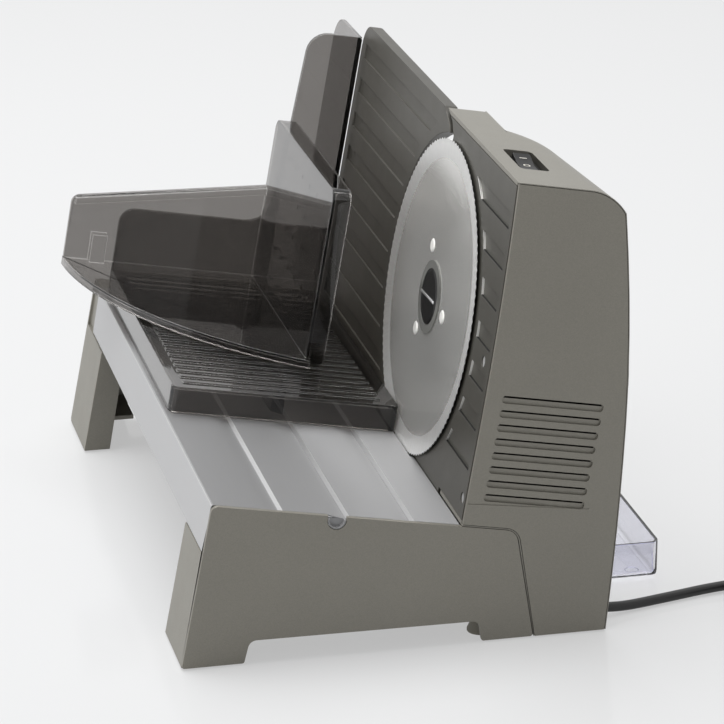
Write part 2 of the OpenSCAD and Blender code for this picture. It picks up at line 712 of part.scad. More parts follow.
module drive_plate() color([0.55, 0.55, 0.56]) tilted() difference() {
    union() {
        across(plate_x, plate_x + plate_t) polygon(rounded([
            [[y_near + 5, 9], 4], [[blade_y + 16, 20], 6], [[blade_y + 16, 112], 10],
            [[blade_y + 9, 157], 6],
            [[y_near + 14, 130], 8], [[y_near + 8, 90], 8]]));
        for (p = posts)
            bar(post_x(p) + face_t + 0.02, plate_x + 1, p[0], p[1], post_r);
        bar(17, plate_x + 1, blade_y, blade_h, 11);
    }
    for (p = posts)
        bar(0, 16, p[0], p[1], screw_r + fit);
    bar(0, 40, blade_y, blade_h, spindle_r + run_fit);
    bar(0, 40, mid_y, mid_h, axle_r + run_fit);
    bar(0, 40, mot_y, mot_h, 7);
    for (s = [-1, 1])
        bar(0, 40, mot_y + s * 12, mot_h, screw_r + fit);
}

// Motor
can_x0 = plate_x + plate_t;
can_x1 = can_x0 + motor_l;
module motor_can() color([0.5, 0.5, 0.52]) tilted() difference() {
    bar(can_x0, can_x1, mot_y, mot_h, motor_r);
    bar(can_x0 + 2, can_x1 - 2, mot_y, mot_h, motor_r - 2);
    bar(0, 99, mot_y, mot_h, shaft_r + run_fit);
    for (s = [-1, 1])
        bar(0, can_x0 + 10, mot_y + s * 12, mot_h, screw_r + fit);
}
module motor_magnets() color([0.25, 0.25, 0.26]) tilted() intersection() {
    difference() {
        bar(can_x0 + 4, can_x1 - 4, mot_y, mot_h, motor_r - 2.05);
        bar(0, 99, mot_y, mot_h, motor_r - 7);
    }
    union() {
        box(0, 99, mot_y - 40, mot_y - 8, mot_h - 40, mot_h + 40);
        box(0, 99, mot_y + 8, mot_y + 40, mot_h - 40, mot_h + 40);
    }
}
module motor_armature() color([0.7, 0.4, 0.2]) tilted() difference() {
    union() {
        across(can_x0 + 8, can_x1 - 8) difference() {
            translate([mot_y, mot_h]) circle(r = motor_r - 8);
            for (k = [0:6])
                translate([mot_y, mot_h]) rotate(k * 360 / 7)
                    translate([motor_r - 13, -1.5]) square([9, 3]);
        }
        bar(can_x0 + 4, can_x1 - 4, mot_y, mot_h, 9);
    }
    bar(0, 99, mot_y, mot_h, shaft_r + run_fit);
}
module motor_shaft() color([0.7, 0.7, 0.72]) tilted() bar(13.2, can_x1 + 11, mot_y, mot_h, shaft_r);
module motor_fan() color([0.2, 0.2, 0.22]) tilted() difference() {
    union() {
        bar(can_x1 + 2, can_x1 + 4, mot_y, mot_h, motor_r - 4);
        bar(can_x1 + 2, can_x1 + 11, mot_y, mot_h, 6);
        for (k = [0:8])
            translate([0, mot_y, mot_h]) rotate([k * 40, 0, 0])
                box(can_x1 + 3, can_x1 + 10, 5, motor_r - 5, -0.8, 0.8);
    }
    bar(0, 120, mot_y, mot_h, shaft_r + run_fit);
}
module motor_screws() color([0.6, 0.6, 0.6]) tilted() for (s = [-1, 1]) {
    bar(plate_x - 1.5, plate_x, mot_y + s * 12, mot_h, 2.8);
    bar(plate_x, can_x0 + 2, mot_y + s * 12, mot_h, screw_r);
}

// Switch
rock_r = 13;
rock_w = 10.4;
rock_h = head_h - sw_depth - 1;
rock_rest = 8;
rock_pin_r = 1.2;
module switch_body() color([0.09, 0.09, 0.09]) tilted() difference() {
    union() {
        box(sw_x - sw_body_w / 2, sw_x + sw_body_w / 2, sw_y - sw_body_l / 2, sw_y + sw_body_l / 2,
            head_h - 28, head_h - sw_depth + 0.5);
        box(sw_x - sw_w / 2 + 0.6, sw_x + sw_w / 2 - 0.6, sw_y - 18, sw_y + 18,
            head_h - sw_depth, head_h - sw_depth + 1.4);
    }
    bar(sw_x - rock_w / 2 - 0.3, sw_x + rock_w / 2 + 0.3, sw_y, rock_h, rock_r + 0.4);
    bar(sw_x - rock_w / 2 - 1, sw_x + rock_w / 2 + 1, sw_y, rock_h, rock_pin_r + run_fit);
}
module rocker_switch() color([0.05, 0.05, 0.05])
    tilted() translate([0, sw_y, rock_h]) rotate([rock_rest, 0, 0]) {
        across(sw_x - rock_w / 2, sw_x + rock_w / 2) intersection() {
            circle(r = rock_r);
            polygon([[-14, -6], [-14, 5.4], [0, 3.6], [14, 5.4], [14, -6]]);
        }
        bar(sw_x - rock_w / 2 - 0.9, sw_x + rock_w / 2 + 0.9, 0, 0, rock_pin_r);
    }

// Stop plate with its slider, rods and cam
stop_x = -1;
stop_far = y_far - 30;
module stop_outline() difference() {
    polygon(rounded([
        [[far_y + 1, 3], 2], [[stop_far, 3], 4], [[stop_far, head_h], 15], [[blade_y + 39, head_h], 0],
        [[blade_y + 23, 193], 0], [[blade_y + 17.4, 187], 0], [[far_y + 1, 150], 0]]));
    translate([blade_y, blade_h]) circle(r = stop_gap_r, $fn = 180);
}
module stop_plate() color([0.45, 0.44, 0.41]) tilted() difference() {
    across(stop_x, stop_x + stop_t) stop_outline();
    for (i = [0:7]) across(stop_x - 1, stop_x + 1.2) difference() {
        translate([blade_y + 50, 178.2 - i * 22.6]) square([stop_far - 10 - blade_y - 50, 9.5]);
        translate([blade_y, blade_h]) circle(r = stop_gap_r + 7, $fn = 180);
    }
}
slide_x0 = stop_x + stop_t;
slide_x1 = slide_x0 + 11;
arm_y0 = y_far - far_leg + panel_t + 1.5;
arm_y1 = y_far - 36;
follow_r = 2;
module stop_slider() color([0.3, 0.3, 0.31]) tilted() difference() {
    union() {
        box(slide_x0, slide_x1, arm_y0 + 1, arm_y1, -50, -16);
        box(slide_x0, slide_x0 + 5, arm_y0, stop_far - 3, -17, 60);
        box(knob_x + pin_orbit - 4, knob_x + pin_orbit + 3, arm_y1 - 1, cam_y0 - 2,
            knob_h - 4, knob_h + 4);
        translate([knob_x + pin_orbit, cam_y0 - 3, knob_h]) rotate([-90, 0, 0])
            cylinder(h = 6.5, r = follow_r);
    }
    for (h = rod_hs)
        bar(-5, 60, rod_y, h, rod_r + run_fit);
}
module guide_rods() color([0.72, 0.72, 0.74]) tilted() for (h = rod_hs)
    bar(-5, seam_at(h) - 1.5, rod_y, h, rod_r);
cam_turn = 300;
function groove_pt(a, off) = (pin_orbit + stop_travel * a / cam_turn + off) * [cos(a), sin(a)];
module thickness_cam() color([0.75, 0.72, 0.65]) tilted() translate([knob_x, 0, knob_h]) difference() {
    union() {
        along(cam_y0, cam_y1) circle(r = cam_r);
        along(cam_y1 - 1, y_far + 14) circle(r = 5);
    }
    along(cam_y0 - 1, cam_y0 + 4) {
        polygon(concat([for (a = [0:7.5:cam_turn]) groove_pt(a, follow_r + 0.35)],
                       [for (a = [cam_turn:-7.5:0]) groove_pt(a, -follow_r - 0.35)]));
        for (a = [0, cam_turn])
            translate(groove_pt(a, 0)) circle(r = follow_r + 0.35);
    }
}
module thickness_knob() color([0.1, 0.1, 0.1]) tilted() translate([knob_x, 0, knob_h]) difference() {
    union() {
        along(y_far + 0.4, y_far + 5) circle(r = knob_r + 1.5);
        along(y_far + 4, y_far + 18) difference() {
            circle(r = knob_r);
            for (k = [0:17])
                rotate(k * 20) translate([knob_r + 1.4, 0]) circle(r = 2.4, $fn = 24);
        }
    }
    along(y_far, y_far + 14.2) circle(r = 5 + run_fit);
}

// Carriage
car_x1 = -2.2;
car_x0 = car_x1 - car_w;
car_y0 = blade_y + 17.5;
car_y1 = car_y0 + car_l;
skirt_h = 0.3;
guard_l = 63;
rib_w = 4.5;
rib_near = 8;
rib_far = 17.5;
rib_pitch = (car_l - rib_near - rib_w - rib_far) / (ribs - 1);
module carriage() color([0.3, 0.28, 0.27, 0.6]) tilted() {
    difference() {
        translate([0, 0, skirt_h]) linear_extrude(car_h - skirt_h)
            polygon(rounded([[[car_x0, car_y0], 5], [[car_x1, car_y0], 2.2],
                             [[car_x1, car_y1], 2.2], [[car_x0, car_y1], 5]]));
        translate([0, 0, skirt_h - 1]) linear_extrude(car_h - car_t - skirt_h + 1)
            polygon(box_round(car_x0 + car_t, car_y0 + car_t, car_x1 - car_t, car_y1 - car_t, 2.5));
    }
    for (i = [0:ribs - 1])
        translate([0, car_y0 + rib_near + rib_pitch * i, 0])
            box(car_x0 + 8, car_x1 - 10, 0, rib_w, car_h - 0.5, car_h + 1.2);
    along(car_y1 - 3, car_y1) polygon(rounded([
        [[car_x0, car_h - 8], 0], [[car_x0, 60], 10], [[-43, 60], 18], [[-37.3, car_wall_h], 14],
        [[car_x1, car_wall_h], 2], [[car_x1, car_h - 8], 0]]));
    across(car_x1 - car_t, car_x1) polygon(rounded([
        [[car_y1 - 1, 6], 0], [[car_y1 + guard_l, 6], 6], [[car_y1 + guard_l, car_wall_h], 18],
        [[car_y1 - 1, car_wall_h], 0]]));
    along(car_y0 + 20, car_y1 - 20) polygon([
        [-76, car_h - car_t + 0.5], [-76, 0], [-68.4, -groove_d + 0.8],
        [-67.8, -groove_d + 0.8], [-67.8, car_h - car_t + 0.5]]);
}

// Food pusher
push_y1 = car_y1 - 3.5;
push_y0 = push_y1 - 171;
push_low = car_h + 1.7;
push_cx = 21.3;
push_cy = push_y1 + 9.6;
push_cr = 197.8;
module food_pusher() color([0.3, 0.28, 0.27, 0.6]) tilted() {
    translate([0, 0, push_low + 3]) linear_extrude(push_t) intersection() {
        translate([push_cx, push_cy]) circle(r = push_cr, $fn = 240);
        translate([-200, push_y1 - 234]) square([200 - push_x + push_t, 234]);
    }
    translate([0, 0, push_low]) linear_extrude(3.5) intersection() {
        difference() {
            translate([push_cx, push_cy]) circle(r = push_cr, $fn = 240);
            translate([push_cx, push_cy]) circle(r = push_cr - 3, $fn = 240);
        }
        translate([-200, push_y1 - 234]) square([200 - push_x + push_t, 234]);
    }
    across(-push_x, -push_x + push_t) polygon(box_round(push_y0, push_low, push_y1, push_h, 8));
    across(-push_x, -push_x + 12) difference() {
        polygon(box_round(push_y0, push_low, push_y1, push_h, 8));
        polygon(box_round(push_y0 + push_t, push_low + push_t, push_y1 - push_t, push_h - push_t, 6));
    }
    along(push_y1 - push_t, push_y1) polygon(rounded([
        [[-176, push_low + 3], 0], [[-176, 66], 6],
        [[-push_x + 1, 86], 0], [[-push_x + 1, push_low + 3], 0]]));
    along(push_y1 - 6.5, push_y1 - 1)
        polygon([[-174, 61], [-174, 65.5], [-push_x + 1, 85], [-push_x + 1, 80.5]]);
    box(-160, -150, push_y1 - 9, push_y1 - 1, push_low + 4, 43);
    for (i = [0:6])
        for (j = [0:4])
            bar(-push_x + push_t - 0.5, -push_x + push_t + 4.5,
                push_y0 + 22 + i * 21, 36 + j * 20, 1.8, 0.2);
}

// Slice tray
tray_x1 = 177;
tray_x0 = tray_x1 - tray_w;
tray_y0 = y_near + 66;
tray_y1 = tray_y0 + tray_l;
tray_z0 = 1.5;
module tray_form(i) intersection() {
    along(tray_y0 - 1, tray_y1 + 1) polygon(rounded([
        [[tray_x0 + i, tray_h + i], 0], [[tray_x0 + i + 0.8, tray_z0 + i], 5 - i],
        [[tray_x1 - i - 0.8, tray_z0 + i], 5 - i], [[tray_x1 - i, tray_h + i], 0]]));
    across(tray_x0 - 1, tray_x1 + 1) polygon(rounded([
        [[tray_y0 + i, tray_h + i], 0], [[tray_y0 + i + 0.8, tray_z0 + i], 5 - i],
        [[tray_y1 - i - 0.8, tray_z0 + i], 5 - i], [[tray_y1 - i, tray_h + i], 0]]));
    linear_extrude(60) polygon(box_round(tray_x0 + i, tray_y0 + i, tray_x1 - i, tray_y1 - i, 6 - i));
}
module slice_tray() color([0.85, 0.87, 0.95, 0.35]) {
    difference() {
        tray_form(0);
        tray_form(tray_t);
    }
    for (x = [tray_x0 + 14, tray_x1 - 14])
        for (y = [tray_y0 + 14, tray_y1 - 14])
            translate([x, y, 0]) cylinder(h = tray_z0 + 0.5, r = 4);
}

// Electrics inside the head
board_y = foot_back + 38;
module rectifier_board() color([0.1, 0.32, 0.16]) {
    box(92, 108, board_y, board_y + 28, bay_h + 5, bay_h + 6.6);
    for (y = [board_y + 3, board_y + 25])
        translate([100, y, bay_h + 2.4]) cylinder(h = 3, r = 2.2);
    for (y = [board_y + 9, board_y + 18])
        box(95, 104, y, y + 4, bay_h + 6.1, bay_h + 10);
}
module terminal_block() color([0.92, 0.9, 0.85]) difference() {
    box(66, 82, foot_back + 8, foot_back + 30, bay_h + 2.4, bay_h + 12);
    for (y = [foot_back + 13.5, foot_back + 24.5])
        translate([74, y, bay_h + 7]) cylinder(h = 9, r = 2.6);
}

// Mains lead
cord_r = cord_d / 2;
module cord_grip() color([0.06, 0.06, 0.06]) difference() {
    union() {
        bar(grip_x0, grip_x0 + 4, grip_y, grip_z, 5);
        bar(grip_x0, grip_x0 + 26, grip_y, grip_z, 5, 4);
    }
    bar(grip_x0 - 1, grip_x0 + 40, grip_y, grip_z, cord_r + 0.3);
}
coil_x = 248;
coil_y = y_near + 3;
coil_r = 40.6;
coil_pitch = cord_d * 1.115;
coil_z = cord_r + 0.75;
coil_rise = cord_d * 1.1;
coil_in = coil_r - coil_turns * coil_pitch;
coil_a = 360 * coil_turns;
coil_all = 2 * coil_a + 180;
function ease(t) = t * t * (3 - 2 * t);
function coil_rad(a) = a < coil_a ? coil_r - coil_pitch * a / 360
    : a < coil_a + 180 ? coil_in
    : coil_in + coil_pitch * (a - coil_a - 180) / 360;
function coil_up(a) =
    coil_z + coil_rise * (a < coil_a ? 0 : a < coil_a + 180 ? ease((a - coil_a) / 180) : 1);
function coil_pt(a) = [coil_x + coil_rad(a) * sin(a), coil_y + coil_rad(a) * cos(a), coil_up(a)];
coil_path = concat([coil_pt(0) - [cord_d, 0, 0]], [for (a = [0:15:coil_all]) coil_pt(a)],
                   [coil_pt(coil_all) + [cord_d, 0, 0]]);
coil_out = coil_pt(coil_all) + [cord_d, 0, 0];
coil_lead = coil_pt(0) - [cord_d, 0, 0];
plug_x = coil_x + 58;
plug_y = coil_out[1] - 4;
plug_z = 6.9;
// smooth line through hand-set points
lead_pts = [[grip_x0 - 30, grip_y, grip_z], [grip_x0 - 4, grip_y, grip_z], [grip_x0 + 12, grip_y, grip_z],
            [grip_x0 + 27, grip_y, grip_z], [grip_x0 + 45, grip_y + 3.4, cord_r + 0.6],
            [grip_x0 + 72, grip_y + 10.6, cord_r + 0.2], [grip_x0 + 104, grip_y + 18, cord_r + 0.4],
            coil_lead, coil_lead + [30, 0, 0]];
tail_pts = [coil_out - [25, 0, 0], coil_out, coil_out + [20, -0.3, 0],
            [plug_x - 14, plug_y + 0.5, plug_z + 0.3], [plug_x, plug_y, plug_z],
            [plug_x + 25, plug_y, plug_z]];
function spline(p, i, t) =
    0.5 * ((2 * p[i]) + (p[i + 1] - p[i - 1]) * t
    + (2 * p[i - 1] - 5 * p[i] + 4 * p[i + 1] - p[i + 2]) * t * t
    + (3 * p[i] - p[i - 1] - 3 * p[i + 1] + p[i + 2]) * t * t * t);
function smooth(p, n) = concat(
    [for (i = [1:len(p) - 3]) for (k = [0:n - 1]) spline(p, i, k / n)], [p[len(p) - 2]]);
function way(p, i) = unit(p[min(i + 1, len(p) - 1)] - p[max(i - 1, 0)]);
function ring(p, i, r, n) =
    let (d = way(p, i), s = unit(cross([0, 0, 1], d)), u = cross(d, s))
    [for (k = [0:n - 1]) p[i] + r * (s * cos(360 * k / n) + u * sin(360 * k / n))];
module tube(p, r, n) {
    m = len(p);
    polyhedron(
        points = [for (i = [0:m - 1]) each ring(p, i, r, n)],
        faces = concat([[for (k = [0:n - 1]) k]],
                       [for (i = [0:m - 2])
                           for (k = [0:n - 1])
                               let (a = i * n + k, b = i * n + (k + 1) % n)
                               each [[a, a + n, b], [b, a + n, b + n]]],
                       [[for (k = [n - 1:-1:0]) (m - 1) * n + k]]));
}
lead_path = smooth(lead_pts, 3);
tail_path = smooth(tail_pts, 4);
module power_cord() color([0.05, 0.05, 0.05]) tube(lead_path, cord_r, 10);
module cord_tail() color([0.05, 0.05, 0.05]) tube(tail_path, cord_r, 10);
module cord_coil() color([0.05, 0.05, 0.05]) tube(coil_path, cord_r, 6);
tie_w = 8;
tie_t = 0.6;
tie_in = coil_in - cord_r - 0.8;
tie_out = coil_r + cord_r + 0.8;
tie_top = coil_z + coil_rise + cord_r + 0.4;
module cord_tie() color([0.12, 0.12, 0.13]) translate([coil_x, coil_y, 0]) rotate([0, 0, -90])
    along(-tie_w / 2, tie_w / 2) difference() {
        translate([tie_in - tie_t, 0]) square([tie_out - tie_in + 2 * tie_t, tie_top + tie_t]);
        translate([tie_in, tie_t]) square([tie_out - tie_in, tie_top - tie_t]);
    }
module plug_body() color([0.05, 0.05, 0.05]) translate([plug_x, plug_y, 0]) difference() {
    intersection() {
        linear_extrude(13.8) polygon(rounded([
            [[0.1, -4.5], 1], [[12, -6], 0], [[24, -17], 4], [[36, -17], 2],
            [[36, 17], 2], [[24, 17], 4], [[12, 6], 0], [[0.1, 4.5], 1]]));
        along(-30, 30) polygon(rounded([[[0.1, 2.4], 1], [[14, 0.1], 4], [[36, 0.1], 1], [[36, 13.7], 1],
                                        [[14, 13.7], 4], [[0.1, 11.4], 1]]));
    }
    for (y = [-9.5, 9.5])
        bar(30, 40, y, plug_z, 2);
}
module plug_pins() color([0.75, 0.73, 0.66]) translate([plug_x, plug_y, 0]) for (y = [-9.5, 9.5]) {
    bar(30, 54, y, plug_z, 1.95);
    bar(54, 55, y, plug_z, 1.95, 1.2);
}

near_end_panel();
far_end_panel();
deck_plate();
base_beam();
suction_feet();
motor_housing();
side_cover();
face_plate();
face_screws();
bottom_cover();
bottom_screws();
blade();
hub_ring();
blade_rivets();
blade_lock();
blade_gear();
blade_spindle();
intermediate_gear();
intermediate_axle();
motor_pinion();
drive_plate();
motor_can();
motor_magnets();
motor_armature();
motor_shaft();
motor_fan();
motor_screws();
switch_body();
rocker_switch();
stop_plate();
stop_slider();
guide_rods();
thickness_cam();
thickness_knob();
carriage();
food_pusher();
slice_tray();
rectifier_board();
terminal_block();
cord_grip();
power_cord();
cord_coil();
cord_tail();
cord_tie();
plug_body();
plug_pins();
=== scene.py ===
# %% [markdown]
# # An electric food slicer
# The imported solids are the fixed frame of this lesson: every piece is already in its
# real place, in metres. Blender adds the camera, the studio, the mains lead as one
# flexible line, softened edges, a ground blade and the finishes.

# %% Load the frame
import json
import math

import bmesh
import bpy
from mathutils import Matrix, Vector

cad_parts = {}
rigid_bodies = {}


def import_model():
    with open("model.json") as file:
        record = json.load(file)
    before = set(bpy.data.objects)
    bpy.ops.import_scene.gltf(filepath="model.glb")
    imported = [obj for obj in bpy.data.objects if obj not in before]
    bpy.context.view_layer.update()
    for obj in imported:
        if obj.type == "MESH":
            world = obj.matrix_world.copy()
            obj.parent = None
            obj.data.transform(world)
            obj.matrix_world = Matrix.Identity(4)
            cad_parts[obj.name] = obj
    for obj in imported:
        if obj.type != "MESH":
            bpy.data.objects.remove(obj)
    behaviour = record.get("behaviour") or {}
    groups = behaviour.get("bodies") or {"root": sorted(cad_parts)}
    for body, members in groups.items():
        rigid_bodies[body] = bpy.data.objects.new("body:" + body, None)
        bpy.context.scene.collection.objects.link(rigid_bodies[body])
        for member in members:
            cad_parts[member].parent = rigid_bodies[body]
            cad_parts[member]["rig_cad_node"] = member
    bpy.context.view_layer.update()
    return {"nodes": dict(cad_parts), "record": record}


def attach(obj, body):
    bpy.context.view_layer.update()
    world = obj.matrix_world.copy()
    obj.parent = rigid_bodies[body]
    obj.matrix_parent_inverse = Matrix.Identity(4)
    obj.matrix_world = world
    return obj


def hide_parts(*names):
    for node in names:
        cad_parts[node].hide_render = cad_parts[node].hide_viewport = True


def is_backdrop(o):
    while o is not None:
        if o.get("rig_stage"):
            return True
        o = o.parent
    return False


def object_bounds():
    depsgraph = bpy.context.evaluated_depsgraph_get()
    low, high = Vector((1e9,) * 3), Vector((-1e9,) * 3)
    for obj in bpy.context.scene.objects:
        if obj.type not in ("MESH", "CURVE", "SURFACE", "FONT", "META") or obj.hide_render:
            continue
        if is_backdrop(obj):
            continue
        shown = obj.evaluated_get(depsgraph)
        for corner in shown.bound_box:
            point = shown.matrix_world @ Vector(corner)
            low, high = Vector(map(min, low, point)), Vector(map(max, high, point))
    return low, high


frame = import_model()
nodes = frame["nodes"]
MM = 0.001
TILT = math.radians(10)
DECK_EDGE_X, DECK_H = 37.5, 73.0
TILTED = Matrix.Translation((DECK_EDGE_X * MM, 0, DECK_H * MM)) @ Matrix.Rotation(TILT, 4, "Y")
body_of = {node: body for body, named in frame["record"]["behaviour"]["bodies"].items() for node in named}
slot_of = {part["node"]: part["material_slot"] for part in frame["record"]["subparts"]}

# %% [markdown]
# ## Camera
# The picture was taken with a long lens from the near end of the deck, a little to its
# left and well above it. A long lens keeps the long edges almost parallel. The place and
# the turn were fitted to corners of the base whose real distances are known.

# %% Camera
FRAME_PX = 724
FOCAL_PX = 3678.74
SENSOR = 36.0
lens = bpy.data.cameras.new("camera")
lens.sensor_width = SENSOR
lens.lens = FOCAL_PX * SENSOR / FRAME_PX
lens.clip_start, lens.clip_end = 0.05, 60
camera = bpy.data.objects.new("camera", lens)
bpy.context.scene.collection.objects.link(camera)
camera.location = (-0.448566, -2.081776, 0.854769)
camera.rotation_euler = [math.radians(a) for a in (70.56467, 0.11479, -12.91977)]
bpy.context.scene.camera = camera
bpy.context.scene.view_settings.view_transform = "Standard"
print("lens", round(lens.lens, 1), "mm")

# %% [markdown]
# ## Mains lead
# A mains lead is one length of round flexible cable, so it is one open curve with a round
# section. It leaves the foot of the head, sinks to the table, runs out of the picture and
# is put away in a coil of two layers, with the plug beside it. The route repeats that of
# the solids: a smooth line through a few set points, and a spiral that winds in, climbs
# one diameter and winds out again. Each point carries the lead's radius and the bevel depth
# is one, because Blender counts a point's radius into the curve's box.

# %% Route of the lead
CORD_D = 6.0
CORD_R = CORD_D / 2
GRIP_X, GRIP_Y, GRIP_Z = 100.0, -186.0, 5.2
COIL_X, COIL_Y, COIL_R = 248.0, -205.0, 40.6
COIL_TURNS = 2.75
COIL_PITCH = CORD_D * 1.115
COIL_IN = COIL_R - COIL_TURNS * COIL_PITCH
COIL_ANGLE = 360 * COIL_TURNS
COIL_STEP = 15


def coil_point(angle):
    half_turn = angle - COIL_ANGLE
    if half_turn < 0:
        radius, climb = COIL_R - COIL_PITCH * angle / 360, 0.0
    elif half_turn < 180:
        t = half_turn / 180
        radius, climb = COIL_IN, t * t * (3 - 2 * t)
    else:
        radius, climb = COIL_IN + COIL_PITCH * (half_turn - 180) / 360, 1.0
    a = math.radians(angle)
    height = CORD_R + 0.75 + CORD_D * 1.1 * climb
    return Vector((COIL_X + radius * math.sin(a), COIL_Y + radius * math.cos(a), height))


def through(points, steps):
    line = []
    for p, q, r, s in zip(points, points[1:], points[2:], points[3:]):
        for k in range(steps):
            t = k / steps
            line.append(0.5 * (2 * q + (r - p) * t + (2 * p - 5 * q + 4 * r - s) * t * t
                               + (3 * q - p - 3 * r + s) * t ** 3))
    return line + [points[-2]]


step_x = Vector((CORD_D, 0, 0))
coil_all = 2 * COIL_ANGLE + 180
coil_lead = coil_point(0) - step_x
coil_out = coil_point(coil_all) + step_x
plug_x, plug_y, plug_z = COIL_X + 58, coil_out.y - 4, 6.9
lead_points = [Vector(p) for p in (
    (GRIP_X - 30, GRIP_Y, GRIP_Z), (GRIP_X - 4, GRIP_Y, GRIP_Z), (GRIP_X + 12, GRIP_Y, GRIP_Z),
    (GRIP_X + 27, GRIP_Y, GRIP_Z), (GRIP_X + 45, GRIP_Y + 3.4, CORD_R + 0.6),
    (GRIP_X + 72, GRIP_Y + 10.6, CORD_R + 0.2), (GRIP_X + 104, GRIP_Y + 18, CORD_R + 0.4))]
lead_points += [coil_lead, coil_lead + Vector((30, 0, 0))]
tail_points = [coil_out - Vector((25, 0, 0)), coil_out, coil_out + Vector((20, -0.3, 0)),
               Vector((plug_x - 14, plug_y + 0.5, plug_z + 0.3)), Vector((plug_x, plug_y, plug_z)),
               Vector((plug_x + 25, plug_y, plug_z))]
spiral = [coil_point(a) for a in range(0, int(coil_all) + 1, COIL_STEP)]
route = [p * MM for p in through(lead_points, 3) + spiral + through(tail_points, 4)]
route_length = sum((b - a).length for a, b in zip(route, route[1:]))
print("route", len(route), "points,", round(route_length, 3), "m")

# %% Lead as a curve
line = bpy.data.curves.new("mains_lead", "CURVE")
line.dimensions = "3D"
line.bevel_depth = 1.0
line.bevel_resolution = 5
line.resolution_u = 4
line.use_fill_caps = True
spline = line.splines.new("BEZIER")
spline.bezier_points.add(len(route) - 1)
for point, place in zip(spline.bezier_points, route):
    point.co = place
    point.radius = CORD_R * MM
    point.handle_left_type = point.handle_right_type = "AUTO"
mains_lead = bpy.data.objects.new("mains_lead", line)
bpy.context.scene.collection.objects.link(mains_lead)
bpy.context.view_layer.update()
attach(mains_lead, "base")
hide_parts("power_cord", "cord_coil", "cord_tail")

# %% [markdown]
# ## Studio
# The slicer stands on a plain white table that runs on as the backdrop, so the whole
# picture is floor. The floor glows a little for what looks at it straight or in a mirror:
# that keeps the background even, and its own surface still catches the soft shadow and a
# faint mirror image. Large lamps stand above and to the left, and little light comes from
# the camera's side, so faces that look at the camera are the dark ones.

# %% Floor
BACKGROUND = 0.825
bpy.ops.object.select_all(action="DESELECT")
bpy.ops.mesh.primitive_plane_add(size=14, location=(0, 2, 0))
floor = bpy.context.active_object
floor.name = "floor"
bpy.ops.object.transform_apply(location=True, rotation=True, scale=True)
floor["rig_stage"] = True


def empty_material(name):
    material = bpy.data.materials.new(name)
    material.use_nodes = True
    material.node_tree.nodes.clear()
    return material, material.node_tree.nodes, material.node_tree.links


def seen_directly(n, k):
    path = n.new("ShaderNodeLightPath")
    total = None
    for name in ("Is Camera Ray", "Is Glossy Ray", "Is Transmission Ray"):
        if total is None:
            total = path.outputs[name]
            continue
        add = n.new("ShaderNodeMath")
        add.operation = "ADD"
        add.use_clamp = True
        k.new(total, add.inputs[0])
        k.new(path.outputs[name], add.inputs[1])
        total = add.outputs[0]
    return total


white_table, n, k = empty_material("white_table")
out = n.new("ShaderNodeOutputMaterial")
surface = n.new("ShaderNodeBsdfPrincipled")
surface.inputs["Base Color"].default_value = (0.80, 0.81, 0.82, 1)
surface.inputs["Roughness"].default_value = 0.12
surface.inputs["Specular IOR Level"].default_value = 0.35
glow = n.new("ShaderNodeEmission")
glow.inputs["Color"].default_value = (BACKGROUND, BACKGROUND, BACKGROUND, 1)
share = n.new("ShaderNodeMath")
share.operation = "MULTIPLY"
share.inputs[1].default_value = 0.55
mix = n.new("ShaderNodeMixShader")
k.new(seen_directly(n, k), share.inputs[0])
k.new(share.outputs[0], mix.inputs[0])
k.new(surface.outputs[0], mix.inputs[1])
k.new(glow.outputs[0], mix.inputs[2])
k.new(mix.outputs[0], out.inputs["Surface"])
floor.data.materials.append(white_table)
print("floor", floor.dimensions[:])

# %% World and lamps
AMBIENT = 0.30
world = bpy.data.worlds.new("studio")
bpy.context.scene.world = world
world.use_nodes = True
n, k = world.node_tree.nodes, world.node_tree.links
n.clear()
out = n.new("ShaderNodeOutputWorld")
ambient = n.new("ShaderNodeBackground")
ambient.inputs["Color"].default_value = (AMBIENT, AMBIENT, AMBIENT * 1.01, 1)
seen = n.new("ShaderNodeBackground")
seen.inputs["Color"].default_value = (BACKGROUND, BACKGROUND, BACKGROUND, 1)
mix = n.new("ShaderNodeMixShader")
k.new(seen_directly(n, k), mix.inputs[0])
k.new(ambient.outputs[0], mix.inputs[1])
k.new(seen.outputs[0], mix.inputs[2])
k.new(mix.outputs[0], out.inputs["Surface"])

LAMPS = {
    "top_lamp": ((-0.3, 0.6, 2.4), (0.0, 0.0, 0.1), 2.4, 70),
    "left_lamp": ((-2.4, 0.2, 0.9), (0.0, 0.0, 0.1), 1.8, 19),
    "front_lamp": ((0.4, -3.0, 1.2), (0.0, 0.0, 0.1), 2.0, 3),
}
for name, (place, aim, size, power) in LAMPS.items():
    lamp = bpy.data.lights.new(name, "AREA")
    lamp.shape = "SQUARE"
    lamp.size = size
    lamp.energy = power
    holder = bpy.data.objects.new(name, lamp)
    bpy.context.scene.collection.objects.link(holder)
    holder.location = place
    holder.rotation_euler = (Vector(aim) - Vector(place)).to_track_quat("-Z", "Y").to_euler()
print("lamps", list(LAMPS))
